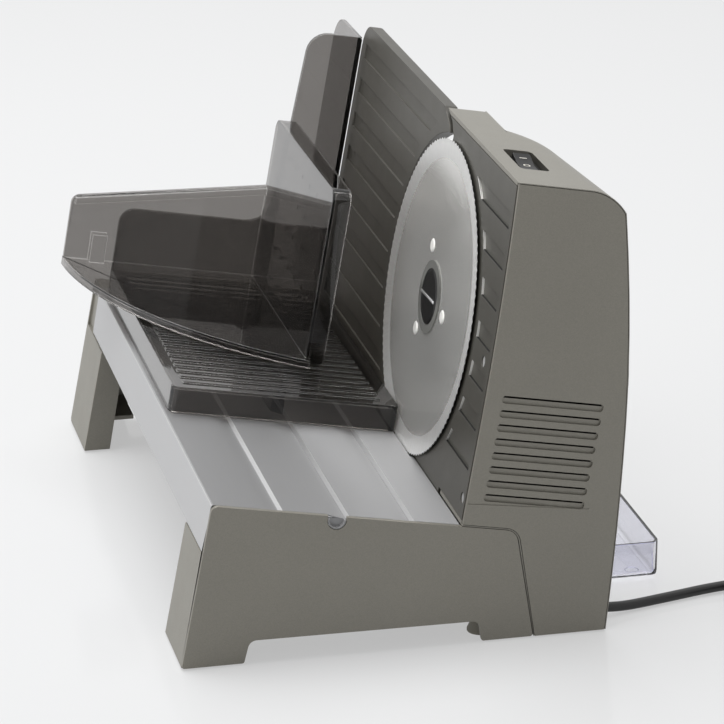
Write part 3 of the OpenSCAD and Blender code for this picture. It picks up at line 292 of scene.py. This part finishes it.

# %% [markdown]
# ## Soft edges
# Moulded and pressed pieces have no knife edges: every edge is a small round that catches
# a thin line of light. The solids are exact, so their edges are sharp. A copy of a solid
# is merged into one skin, its flat triangles are joined, and a Bevel modifier rounds the
# sharp edges by a few tenths of a millimetre. Edges on the small ledges inside a joint of
# two walls, and edges of faces narrower than two rounds, stay sharp for want of room. The
# rounds of clear plastic get a second finish with painted light, lighter on the smoked
# pieces and bluish on the clear ones, for the light that gathers there. A Weighted
# Normal modifier then lets the large faces set the shading, so that they look flat up to
# their rounds. The copy stands for its solid.

# %% Softened copies
SOFT = {
    "near_end_panel": 0.5, "far_end_panel": 0.5, "deck_plate": 0.3, "motor_housing": 0.3,
    "side_cover": 0.22, "face_plate": 0.3, "stop_plate": 0.45, "carriage": 0.4, "food_pusher": 0.4,
    "slice_tray": 0.4, "switch_body": 0.25, "rocker_switch": 0.5, "blade_lock": 0.25, "hub_ring": 0.2,
    "thickness_knob": 0.5, "plug_body": 0.6, "cord_grip": 0.3, "suction_feet": 0.3,
}
LEDGES_Y = {"near_end_panel": (-206,), "far_end_panel": (206, 207), "carriage": (176.5,)}
EDGE_FINISH = {"smoked_clear": "smoked_edge_painted_light", "clear": "clear_edge_painted_light"}
SHARP, FLAT, SMOOTH = math.radians(25), math.radians(0.25), math.radians(34)
MERGE = 0.000004
ROOM = 2


def weigh_edges(mesh, ledges, width):
    skin = bmesh.new()
    skin.from_mesh(mesh)
    weight = skin.edges.layers.float.new("bevel_weight_edge")
    for edge in skin.edges:
        on_ledge = any(all(abs(v.co.y - y * MM) < 1e-5 for v in edge.verts) for y in ledges)
        room = min((face.calc_area() / edge.calc_length() for face in edge.link_faces), default=0.0)
        edge[weight] = float(edge.calc_face_angle(0.0) > SHARP and room > ROOM * width * MM and not on_ledge)
    skin.to_mesh(mesh)
    skin.free()


def softened(node, width):
    bpy.ops.object.select_all(action="DESELECT")
    nodes[node].select_set(True)
    bpy.context.view_layer.objects.active = nodes[node]
    bpy.ops.object.duplicate()
    piece = bpy.context.active_object
    piece.name = piece.data.name = node + "_soft"
    del piece["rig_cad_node"]
    bpy.ops.object.mode_set(mode="EDIT")
    bpy.ops.mesh.select_all(action="SELECT")
    bpy.ops.mesh.customdata_custom_splitnormals_clear()
    bpy.ops.mesh.remove_doubles(threshold=MERGE)
    bpy.ops.mesh.dissolve_limited(angle_limit=FLAT)
    bpy.ops.object.mode_set(mode="OBJECT")
    piece.data.materials.clear()
    for _ in range(2 if slot_of[node] in EDGE_FINISH else 1):
        piece.data.materials.append(None)
    weigh_edges(piece.data, LEDGES_Y.get(node, ()), width)
    round_edge = piece.modifiers.new("round_edge", "BEVEL")
    round_edge.width = width * MM
    round_edge.segments = 2
    round_edge.limit_method = "WEIGHT"
    round_edge.use_clamp_overlap = False
    round_edge.material = 1 if slot_of[node] in EDGE_FINISH else -1
    bpy.ops.object.modifier_apply(modifier="round_edge")
    bpy.ops.object.shade_smooth_by_angle(angle=SMOOTH)
    flat_face = piece.modifiers.new("flat_face", "WEIGHTED_NORMAL")
    flat_face.weight = 100
    flat_face.keep_sharp = True
    bpy.ops.object.modifier_apply(modifier="flat_face")
    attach(piece, body_of[node])
    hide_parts(node)
    return piece


soft = {node: softened(node, width) for node, width in SOFT.items()}
print("softened", len(soft), "pieces,", sum(len(p.data.polygons) for p in soft.values()), "faces")

# %% [markdown]
# The lead ends in the plug.

# %% End of the lead
print("lead ends in", soft["plug_body"].name)

# %% [markdown]
# ## Blade
# The blade is a turned steel disc. Its rim is a flat cone about 12 mm wide that leans
# towards the food and ends in a wavy edge. It is drawn ring by ring: one circle is extruded
# along its profile, scaled at each step, until it meets itself again. Then the rim's points
# are pulled in by a rectified sine, which gives sharp tips with round gullets between them.
# A UV map runs round the disc, so that the turning marks and the gloss follow it.

# %% Turning a ring profile
BLADE_Y, BLADE_H = -70.0, 92.7
FACING = Matrix(((0, 0, 1, 0), (1, 0, 0, 0), (0, 1, 0, 0), (0, 0, 0, 1)))


def turned(name, rings, sides):
    bpy.ops.object.select_all(action="DESELECT")
    radius, depth = rings[0]
    bpy.ops.mesh.primitive_circle_add(vertices=sides, radius=radius * MM)
    piece = bpy.context.active_object
    piece.name = piece.data.name = name
    bpy.ops.object.mode_set(mode="EDIT")
    bpy.ops.mesh.select_all(action="SELECT")
    bpy.ops.transform.translate(value=(0, 0, depth * MM))
    for (r0, d0), (r1, d1) in zip(rings, rings[1:]):
        bpy.ops.mesh.extrude_edges_move(TRANSFORM_OT_translate={"value": (0, 0, (d1 - d0) * MM)})
        bpy.ops.transform.resize(value=(r1 / r0, r1 / r0, 1), center_override=(0, 0, 0))
    bpy.ops.mesh.select_all(action="SELECT")
    bpy.ops.mesh.remove_doubles(threshold=0.000001)
    bpy.ops.mesh.normals_make_consistent(inside=False)
    bpy.ops.object.mode_set(mode="OBJECT")
    return piece


def put_in_place(piece, y, h, turn=0.0):
    middle = Matrix.Translation((0, y * MM, h * MM))
    piece.matrix_world = TILTED @ middle @ FACING @ Matrix.Rotation(turn, 4, "Z")
    bpy.ops.object.select_all(action="DESELECT")
    piece.select_set(True)
    bpy.context.view_layer.objects.active = piece
    bpy.ops.object.transform_apply(location=True, rotation=True, scale=True)


# %% Blade disc with a wavy rim
WAVES, STEPS = 120, 6
GULLET, GRIND = 1.1, 0.12
FACE_X, RIM_R, TEETH_R, GRIND_R = -0.7, 83, 91, 93.6
DISC = [(8.05, -0.7), (40, -0.7), (78, -0.7), (82.4, -0.7), (83, -0.71), (83.6, -0.76), (88, -1.2),
        (91.5, -1.55), (93.6, -1.76), (95, -1.9), (95, -1.66), (92, -1.24), (84, -0.1), (79, 0.1),
        (40, 0.1), (8.05, 0.1), (8.05, -0.7)]
disc = turned("blade_disc", DISC, WAVES * STEPS)
for v in disc.data.vertices:
    r = v.co.xy.length / MM
    gullet = abs(math.sin(math.atan2(v.co.y, v.co.x) * WAVES / 2))
    pull = GULLET * gullet * max(0.0, min(1.0, (r - TEETH_R) / 3))
    v.co.xy *= (r - pull) / r
    if v.co.z < FACE_X * MM:
        v.co.z += GRIND * MM * gullet * max(0.0, 1 - abs(r - GRIND_R) / 1.5)
way_round = disc.data.uv_layers.new(name="way_round")
for face in disc.data.polygons:
    mid = math.atan2(face.center.y, face.center.x)
    for loop in face.loop_indices:
        at = disc.data.vertices[disc.data.loops[loop].vertex_index].co
        turn = (math.atan2(at.y, at.x) - mid + math.pi) % (2 * math.pi) - math.pi + mid
        way_round.data[loop].uv = (turn / (2 * math.pi), at.xy.length / 0.1)
for _ in range(2):
    disc.data.materials.append(None)
for face in disc.data.polygons:
    face.material_index = int(face.center.xy.length > RIM_R * MM and face.center.z < (FACE_X + 0.1) * MM)
put_in_place(disc, BLADE_Y, BLADE_H)
bpy.ops.object.shade_smooth_by_angle(angle=math.radians(4))
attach(disc, "blade")
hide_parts("blade")
print("blade disc", len(disc.data.polygons), "faces, box", [round(x, 4) for x in disc.dimensions])

# %% [markdown]
# The lock in the blade's middle is turned by a thin fin, which shows as a bright line on
# the black cap. It starts as a cube that is scaled to a slim bar, and its edges are
# bevelled until its ends are round.

# %% Fin of the lock
LOCK_TURN = -2


def slim_bar(name, size, place, edge):
    bpy.ops.object.select_all(action="DESELECT")
    bpy.ops.mesh.primitive_cube_add(size=1, location=[x * MM for x in place])
    bar = bpy.context.active_object
    bar.name = bar.data.name = name
    bpy.ops.object.mode_set(mode="EDIT")
    bpy.ops.mesh.select_all(action="SELECT")
    bpy.ops.transform.resize(value=[x * MM for x in size])
    bpy.ops.mesh.bevel(offset=edge * MM, segments=3, affect="EDGES")
    bpy.ops.object.mode_set(mode="OBJECT")
    bpy.ops.object.transform_apply(location=True, rotation=True, scale=True)
    return bar


fin = slim_bar("lock_fin", (29.4, 1.7, 0.9), (0, 0, -2.35), 0.35)
put_in_place(fin, BLADE_Y, BLADE_H, math.radians(LOCK_TURN))
bpy.ops.object.shade_smooth_by_angle(angle=math.radians(40))
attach(fin, "lock")
print("lock fin", [round(x, 4) for x in fin.dimensions])

# %% [markdown]
# The rocker carries the two usual marks, a ring for off on its near half and a bar for on
# on its far half. Both are thin raised prints: a ring extruded from a circle, and a slim
# bar.

# %% Marks on the rocker
ROCK_X, ROCK_Y, ROCK_H = 19.2, -141.5, 194.0
ROCK_THICK, ROCK_RISE, ROCK_HALF = 3.6, 1.8, 14
ROCK_REST, ROCK_SLOPE = math.radians(8), math.atan2(ROCK_RISE, ROCK_HALF)


def on_rocker(piece, along):
    slope = ROCK_SLOPE if along > 0 else -ROCK_SLOPE
    lift = ROCK_THICK + ROCK_RISE * abs(along) / ROCK_HALF
    piece.matrix_world = (TILTED @ Matrix.Translation((ROCK_X * MM, ROCK_Y * MM, ROCK_H * MM))
                          @ Matrix.Rotation(ROCK_REST, 4, "X")
                          @ Matrix.Translation((0, along * MM, lift * MM)) @ Matrix.Rotation(slope, 4, "X"))
    bpy.ops.object.select_all(action="DESELECT")
    piece.select_set(True)
    bpy.context.view_layer.objects.active = piece
    bpy.ops.object.transform_apply(location=True, rotation=True, scale=True)
    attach(piece, "rocker")


off_ring = turned("mark_off", [(2.1, 0.0), (2.1, 0.14), (1.45, 0.14), (1.45, 0.0), (2.1, 0.0)], 36)
on_rocker(off_ring, -2.6)
on_bar = slim_bar("mark_on", (4.4, 0.75, 0.3), (0, 0, 0), 0.1)
on_rocker(on_bar, 6.6)
marks = (off_ring, on_bar)
print("marks", [m.name for m in marks])

# %% [markdown]
# ## Shared surface effects
# A few effects come back in several finishes, so each is built once as a node group and
# placed with its own values: paint with metal flakes, straight brushed lines, and fine
# soft grain for moulded plastic. All of them read the piece's own coordinates in metres,
# so a line that is 0.2 mm wide here is 0.2 mm wide on the slicer.

# %% Helpers for node groups


def group(name, inputs, outputs):
    tree = bpy.data.node_groups.new(name, "ShaderNodeTree")
    for socket, kind, value in inputs:
        made = tree.interface.new_socket(socket, in_out="INPUT", socket_type=kind)
        made.default_value = value
    for socket, kind in outputs:
        tree.interface.new_socket(socket, in_out="OUTPUT", socket_type=kind)
    return tree, tree.nodes, tree.links, tree.nodes.new("NodeGroupInput"), tree.nodes.new("NodeGroupOutput")


def math_node(n, k, operation, a, b=None, clamp=False):
    made = n.new("ShaderNodeMath")
    made.operation = operation
    made.use_clamp = clamp
    for socket, value in zip(made.inputs, (a, b)):
        if value is None:
            continue
        if isinstance(value, (int, float)):
            socket.default_value = value
        else:
            k.new(value, socket)
    return made.outputs[0]


def noise(n, k, vector, scale, detail=2.0):
    made = n.new("ShaderNodeTexNoise")
    made.inputs["Scale"].default_value = scale
    made.inputs["Detail"].default_value = detail
    k.new(vector, made.inputs["Vector"])
    return made.outputs["Fac"]


def ranged(n, k, value, low, high):
    made = n.new("ShaderNodeMapRange")
    k.new(value, made.inputs["Value"])
    for socket, given in (("To Min", low), ("To Max", high)):
        if isinstance(given, (int, float)):
            made.inputs[socket].default_value = given
        else:
            k.new(given, made.inputs[socket])
    return made.outputs["Result"]


def tinted(n, k, colour, factor):
    made = n.new("ShaderNodeVectorMath")
    made.operation = "SCALE"
    k.new(colour, made.inputs[0])
    k.new(factor, made.inputs["Scale"])
    return made.outputs[0]


# %% Paint with metal flakes
paint_group, n, k, gi, go = group(
    "flake_paint",
    [("Colour", "NodeSocketColor", (0.2, 0.2, 0.2, 1)), ("Flakes", "NodeSocketFloat", 0.12),
     ("Roughness", "NodeSocketFloat", 0.4)],
    [("Colour", "NodeSocketColor"), ("Roughness", "NodeSocketFloat"), ("Height", "NodeSocketFloat")])
where = n.new("ShaderNodeTexCoord").outputs["Object"]
flakes = n.new("ShaderNodeTexVoronoi")
flakes.inputs["Scale"].default_value = 2600
k.new(where, flakes.inputs["Vector"])
split = n.new("ShaderNodeSeparateColor")
k.new(flakes.outputs["Color"], split.inputs[0])
low = math_node(n, k, "SUBTRACT", 1.0, gi.outputs["Flakes"])
high = math_node(n, k, "ADD", 1.0, gi.outputs["Flakes"])
sparkle = ranged(n, k, split.outputs[0], low, high)
cloud = ranged(n, k, noise(n, k, where, 14), 0.95, 1.05)
k.new(tinted(n, k, gi.outputs["Colour"], math_node(n, k, "MULTIPLY", sparkle, cloud)), go.inputs["Colour"])
smear = ranged(n, k, noise(n, k, where, 60, 4), -0.05, 0.05)
k.new(math_node(n, k, "ADD", gi.outputs["Roughness"], smear, True), go.inputs["Roughness"])
peel = noise(n, k, where, 700, 2)
k.new(math_node(n, k, "ADD", peel, math_node(n, k, "MULTIPLY", split.outputs[1], 0.25)), go.inputs["Height"])
print("group", paint_group.name)

# %% Brushed lines
brush_group, n, k, gi, go = group(
    "brushed_lines",
    [("Vector", "NodeSocketVector", (0, 0, 0)), ("Colour", "NodeSocketColor", (0.6, 0.6, 0.6, 1)),
     ("Roughness", "NodeSocketFloat", 0.3), ("Contrast", "NodeSocketFloat", 0.12)],
    [("Colour", "NodeSocketColor"), ("Roughness", "NodeSocketFloat"), ("Height", "NodeSocketFloat")])
fine = noise(n, k, gi.outputs["Vector"], 1.0, 3)
low = math_node(n, k, "SUBTRACT", 1.0, gi.outputs["Contrast"])
high = math_node(n, k, "ADD", 1.0, gi.outputs["Contrast"])
k.new(tinted(n, k, gi.outputs["Colour"], ranged(n, k, fine, low, high)), go.inputs["Colour"])
k.new(math_node(n, k, "ADD", gi.outputs["Roughness"], ranged(n, k, fine, -0.08, 0.08), True),
      go.inputs["Roughness"])
k.new(fine, go.inputs["Height"])
print("group", brush_group.name)

# %% Moulded grain
grain_group, n, k, gi, go = group(
    "moulded_grain",
    [("Colour", "NodeSocketColor", (0.1, 0.1, 0.1, 1)), ("Roughness", "NodeSocketFloat", 0.5),
     ("Scale", "NodeSocketFloat", 900.0)],
    [("Colour", "NodeSocketColor"), ("Roughness", "NodeSocketFloat"), ("Height", "NodeSocketFloat")])
where = n.new("ShaderNodeTexCoord").outputs["Object"]
pits = n.new("ShaderNodeTexNoise")
pits.inputs["Detail"].default_value = 3
k.new(where, pits.inputs["Vector"])
k.new(gi.outputs["Scale"], pits.inputs["Scale"])
k.new(tinted(n, k, gi.outputs["Colour"], ranged(n, k, pits.outputs["Fac"], 0.86, 1.14)), go.inputs["Colour"])
handled = ranged(n, k, noise(n, k, where, 45, 3), -0.07, 0.07)
k.new(math_node(n, k, "ADD", gi.outputs["Roughness"], handled, True), go.inputs["Roughness"])
k.new(pits.outputs["Fac"], go.inputs["Height"])
print("group", grain_group.name)

# %% [markdown]
# ## Finishes
# Each finish is one material: a Principled shader fed by one of the groups. The head, the
# end panels and the plates are painted a champagne grey with fine metal flakes; the head's
# copy is a little lighter as painted light, and the face and stop plates' copies are much
# darker as painted shade. The deck is brushed steel, the carriage and the pusher are smoked
# clear plastic, the tray is clear.

# %% Helpers for materials


def principled(name, **fixed):
    material, n, k = empty_material(name)
    out = n.new("ShaderNodeOutputMaterial")
    shader = n.new("ShaderNodeBsdfPrincipled")
    k.new(shader.outputs[0], out.inputs["Surface"])
    for socket, value in fixed.items():
        shader.inputs[socket.replace("_", " ")].default_value = value
    return material, n, k, shader


def placed(n, k, shader, tree, bump, distance, **values):
    made = n.new("ShaderNodeGroup")
    made.node_tree = tree
    for socket, value in values.items():
        made.inputs[socket.replace("_", " ")].default_value = value
    k.new(made.outputs["Colour"], shader.inputs["Base Color"])
    k.new(made.outputs["Roughness"], shader.inputs["Roughness"])
    relief = n.new("ShaderNodeBump")
    relief.inputs["Strength"].default_value = bump
    relief.inputs["Distance"].default_value = distance
    k.new(made.outputs["Height"], relief.inputs["Height"])
    k.new(relief.outputs["Normal"], shader.inputs["Normal"])
    return made


def along_lines(n, k, made, turn, scale):
    where = n.new("ShaderNodeTexCoord")
    mapping = n.new("ShaderNodeMapping")
    mapping.vector_type = "TEXTURE"
    mapping.inputs["Location"].default_value = (DECK_EDGE_X * MM, 0, DECK_H * MM)
    mapping.inputs["Rotation"].default_value = turn
    mapping.inputs["Scale"].default_value = scale
    k.new(where.outputs["Object"], mapping.inputs["Vector"])
    k.new(mapping.outputs[0], made.inputs["Vector"])


def paint(name, colour, roughness=0.42, metallic=0.35, flakes=0.07):
    material, n, k, shader = principled(name, Metallic=metallic)
    placed(n, k, shader, paint_group, 0.12, 0.00004, Colour=(*colour, 1), Roughness=roughness, Flakes=flakes)
    return material


def brushed(name, colour, roughness, lines, contrast=0.10, metallic=1.0):
    material, n, k, shader = principled(name, Metallic=metallic, Anisotropic=0.5)
    made = placed(n, k, shader, brush_group, 0.10, 0.00003, Colour=(*colour, 1), Roughness=roughness,
                  Contrast=contrast)
    along_lines(n, k, made, (0, TILT, 0), lines)
    return material


def moulded(name, colour, roughness=0.5, scale=900.0, bump=0.2, specular=0.5):
    material, n, k, shader = principled(name, Metallic=0.0, Specular_IOR_Level=specular)
    placed(n, k, shader, grain_group, bump, 0.00005, Colour=(*colour, 1), Roughness=roughness, Scale=scale)
    return material


# %% Paints, steels and plastics
LENGTHWISE = (0.0002, 0.03, 0.0002)
finishes = {
    "panel_paint": paint("panel_paint", (0.236, 0.224, 0.192)),
    # A slightly lighter copy of the panel paint for the head: painted light on its lit top.
    "housing_paint": paint("housing_paint", (0.255, 0.244, 0.213)),
    # Much darker copies of the panel paint for the face and stop plates: painted shade, and a painted dark
    # reflection of the carriage.
    "face_paint": paint("face_paint", (0.086, 0.082, 0.070), 0.38, 0.45),
    "stop_paint": paint("stop_paint", (0.082, 0.078, 0.067), 0.40, 0.4),
    "deck_steel": brushed("deck_steel", (0.285, 0.285, 0.289), 0.55, LENGTHWISE, 0.10, 0.5),
    # A lighter copy of the deck steel for the apron: painted light.
    "apron_steel_painted_light": brushed("apron_steel_painted_light", (0.52, 0.52, 0.525), 0.45, LENGTHWISE, 0.08, 0.7),
    "plain_steel": brushed("plain_steel", (0.72, 0.72, 0.72), 0.34, LENGTHWISE, 0.06),
    "hub_steel": brushed("hub_steel", (0.16, 0.16, 0.15), 0.55, (0.0005, 0.0005, 0.0005), 0.7, 0.5),
    # Pale steel for the rivets, also a painted highlight on the ends of the face plate's fields.
    "pale_steel_and_painted_highlight": brushed("pale_steel_and_painted_highlight", (0.84, 0.83, 0.80), 0.5, LENGTHWISE, 0.06, 0.5),
    "motor_steel": brushed("motor_steel", (0.45, 0.45, 0.47), 0.42, LENGTHWISE, 0.12),
    "pinion_brass": brushed("pinion_brass", (0.55, 0.42, 0.17), 0.30, LENGTHWISE),
    "winding": brushed("winding", (0.50, 0.20, 0.08), 0.40, LENGTHWISE, 0.25),
    "black_plastic": moulded("black_plastic", (0.012, 0.012, 0.012), 0.32, 700, 0.1, 0.25),
    "frame_paint": moulded("frame_paint", (0.035, 0.035, 0.036), 0.5),
    "inner_plastic": moulded("inner_plastic", (0.07, 0.07, 0.073), 0.5),
    "gear_nylon": moulded("gear_nylon", (0.68, 0.65, 0.55), 0.45, 500),
    "magnet": moulded("magnet", (0.05, 0.05, 0.055), 0.7, 1500, 0.4),
    "board": moulded("board", (0.02, 0.09, 0.03), 0.4, 400),
    "white_plastic": moulded("white_plastic", (0.80, 0.77, 0.70), 0.45),
    # Near black painted shade for the lower walls of the face plate's fields.
    "painted_shade_edge": moulded("painted_shade_edge", (0.010, 0.010, 0.009), 0.6, 900, 0.2, 0.2),
    "foot_rubber": moulded("foot_rubber", (0.38, 0.36, 0.30), 0.55, 1200, 0.35),
    "cord_black": moulded("cord_black", (0.014, 0.014, 0.014), 0.42, 1500, 0.25),
}
print("finishes", len(finishes))

# %% [markdown]
# Clear plastic takes colour from the light that passes it, so two walls behind each other
# look darker than one. Its walls are thin and nearly even, so they bend what lies behind
# them only a little, and a clear coat carries the gloss. A lamp's light that would be lost
# behind such a wall is let through, tinted, because a thin wall throws a pale shadow.

# %% Clear plastics


def clear_plastic(name, tint, shadow, roughness, ior, coat=1.0):
    material, n, k, shader = principled(name, Metallic=0.0, Transmission_Weight=1.0, IOR=ior,
                                        Coat_Weight=coat, Coat_Roughness=0.03, Coat_IOR=1.5)
    where = n.new("ShaderNodeTexCoord").outputs["Object"]
    streak = ranged(n, k, noise(n, k, where, 25, 2), 0.94, 1.06)
    base = n.new("ShaderNodeVectorMath")
    base.operation = "SCALE"
    base.inputs[0].default_value = tint
    k.new(streak, base.inputs["Scale"])
    k.new(base.outputs[0], shader.inputs["Base Color"])
    rub = ranged(n, k, noise(n, k, where, 180, 4), max(0.0, roughness - 0.02), roughness + 0.03)
    k.new(rub, shader.inputs["Roughness"])
    through_it = n.new("ShaderNodeBsdfTransparent")
    through_it.inputs["Color"].default_value = (*shadow, 1)
    path = n.new("ShaderNodeLightPath")
    mix = n.new("ShaderNodeMixShader")
    k.new(path.outputs["Is Shadow Ray"], mix.inputs[0])
    k.new(shader.outputs[0], mix.inputs[1])
    k.new(through_it.outputs[0], mix.inputs[2])
    out = next(x for x in n if x.type == "OUTPUT_MATERIAL")
    k.new(mix.outputs[0], out.inputs["Surface"])
    return material


finishes["smoked_clear"] = clear_plastic(
    "smoked_clear", (0.215, 0.203, 0.193), (0.50, 0.49, 0.48), 0.03, 1.10)
# Painted highlight: a lighter copy for the rounds of the smoked plastic.
finishes["smoked_edge_painted_light"] = clear_plastic("smoked_edge_painted_light", (0.62, 0.60, 0.58), (0.60, 0.59, 0.58), 0.25, 1.35)
finishes["clear"] = clear_plastic("clear", (0.80, 0.80, 0.85), (0.88, 0.88, 0.92), 0.02, 1.35, 0.3)
# Painted light: a bluish copy for the rounds of the clear plastic.
finishes["clear_edge_painted_light"] = clear_plastic("clear_edge_painted_light", (0.52, 0.52, 0.78), (0.86, 0.86, 0.92), 0.12, 1.40)

# %% [markdown]
# The blade's turning marks run round the disc, and its gloss is drawn out across them. The
# marks are noise on the disc's own UV map, short across the marks and long round the disc.
# The same map gives the direction of the gloss. On the ground rim the marks run outwards.

# %% Turned steel


def round_steel(name, colour, metallic, roughness, contrast, stretched):
    material, n, k, shader = principled(name, Metallic=metallic, Anisotropic=0.5, Anisotropic_Rotation=0.25)
    made = placed(n, k, shader, brush_group, 0.03, 0.00002, Colour=(*colour, 1), Roughness=roughness,
                  Contrast=contrast)
    map_uv = n.new("ShaderNodeUVMap")
    map_uv.uv_map = "way_round"
    stretch = n.new("ShaderNodeMapping")
    stretch.inputs["Scale"].default_value = stretched
    k.new(map_uv.outputs[0], stretch.inputs["Vector"])
    k.new(stretch.outputs[0], made.inputs["Vector"])
    round_about = n.new("ShaderNodeTangent")
    round_about.direction_type = "UV_MAP"
    round_about.uv_map = "way_round"
    k.new(round_about.outputs[0], shader.inputs["Tangent"])
    return material


# The blade's light, partly diffuse steel is a painted reflection of the food that is left out.
finishes["blade_steel"] = round_steel("blade_steel", (0.90, 0.895, 0.865), 0.72, 0.20, 0.04, (5, 420, 1))
finishes["rim_steel"] = round_steel("rim_steel", (0.95, 0.95, 0.935), 0.68, 0.33, 0.14, (900, 6, 1))
print("blade finishes", "blade_steel", "rim_steel")

# %% Give each solid its finish
for node, piece in [*nodes.items(), *soft.items()]:
    if not piece.data.materials:
        piece.data.materials.append(None)
    for i, _ in enumerate(piece.data.materials):
        piece.data.materials[i] = finishes[EDGE_FINISH[slot_of[node]] if i else slot_of[node]]
soft["hub_ring"].data.materials[0] = finishes["hub_steel"]
nodes["blade_rivets"].data.materials[0] = finishes["pale_steel_and_painted_highlight"]
for piece, slot in ((mains_lead, "cord_black"), (fin, "plain_steel"), *((m, "white_plastic") for m in marks)):
    piece.data.materials.append(finishes[slot])
for i, slot in enumerate(("blade_steel", "rim_steel")):
    disc.data.materials[i] = finishes[slot]
print("finished", len(nodes) + len(soft), "solids and copies")

# %% [markdown]
# A few narrow faces differ from the piece they belong to. The ends of the fields beside the
# blade get a painted highlight, their lower edges get painted shade, and so does the wall of
# the switch recess that looks at the blade. The deck's apron gets a lighter copy of the deck's
# steel as painted light. They are picked by their place and the way they face in the tilted frame.

# %% Faces with a finish of their own
UNTILT = TILTED.inverted()
FIELD_R, FIELD_DEPTH, FIELD_H, FIELD_PITCH = 100.3, 1.5, 31.0, 23.45
FACE_FRONT, NEAR_EDGE = 0.1, 0.4
RECESS_X, RECESS_Y, RECESS_H = (20, 29), 21, (180, 199.6)


def touch(piece, finish, chosen):
    piece.data.materials.append(finishes[finish])
    count = 0
    for face in piece.data.polygons:
        if chosen(UNTILT @ face.center / MM, UNTILT.to_3x3() @ face.normal):
            face.material_index = len(piece.data.materials) - 1
            count += 1
    print(finish, "on", count, "faces of", piece.name)


def field_end(at, to):
    off = math.hypot(at.y - BLADE_Y, at.z - BLADE_H) - FIELD_R
    return abs(off) < NEAR_EDGE and abs(to.x) < 0.8 and FACE_FRONT < at.x < FIELD_DEPTH


def field_floor(at, to):
    above = (at.z - FIELD_H + FIELD_PITCH / 2) % FIELD_PITCH - FIELD_PITCH / 2
    return abs(above) < NEAR_EDGE and to.z > 0.5 and FACE_FRONT < at.x < FIELD_DEPTH and at.y < BLADE_Y


def recess_wall(at, to):
    inside = RECESS_X[0] < at.x < RECESS_X[1] and RECESS_H[0] < at.z < RECESS_H[1]
    return to.x < -0.5 and inside and abs(at.y - ROCK_Y) < RECESS_Y


def apron(at, to):
    return to.x < -0.6


# Painted light: the lighter steel copy on the apron.
touch(soft["deck_plate"], "apron_steel_painted_light", apron)
# Painted highlight on the ends of the fields beside the blade.
touch(soft["face_plate"], "pale_steel_and_painted_highlight", field_end)
# Painted shade on the lower walls of the fields.
touch(soft["face_plate"], "painted_shade_edge", field_floor)
# Painted shade: the dark face paint on the recess wall that looks at the blade.
touch(soft["motor_housing"], "face_paint", recess_wall)

# %% Size of the slicer
low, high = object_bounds()
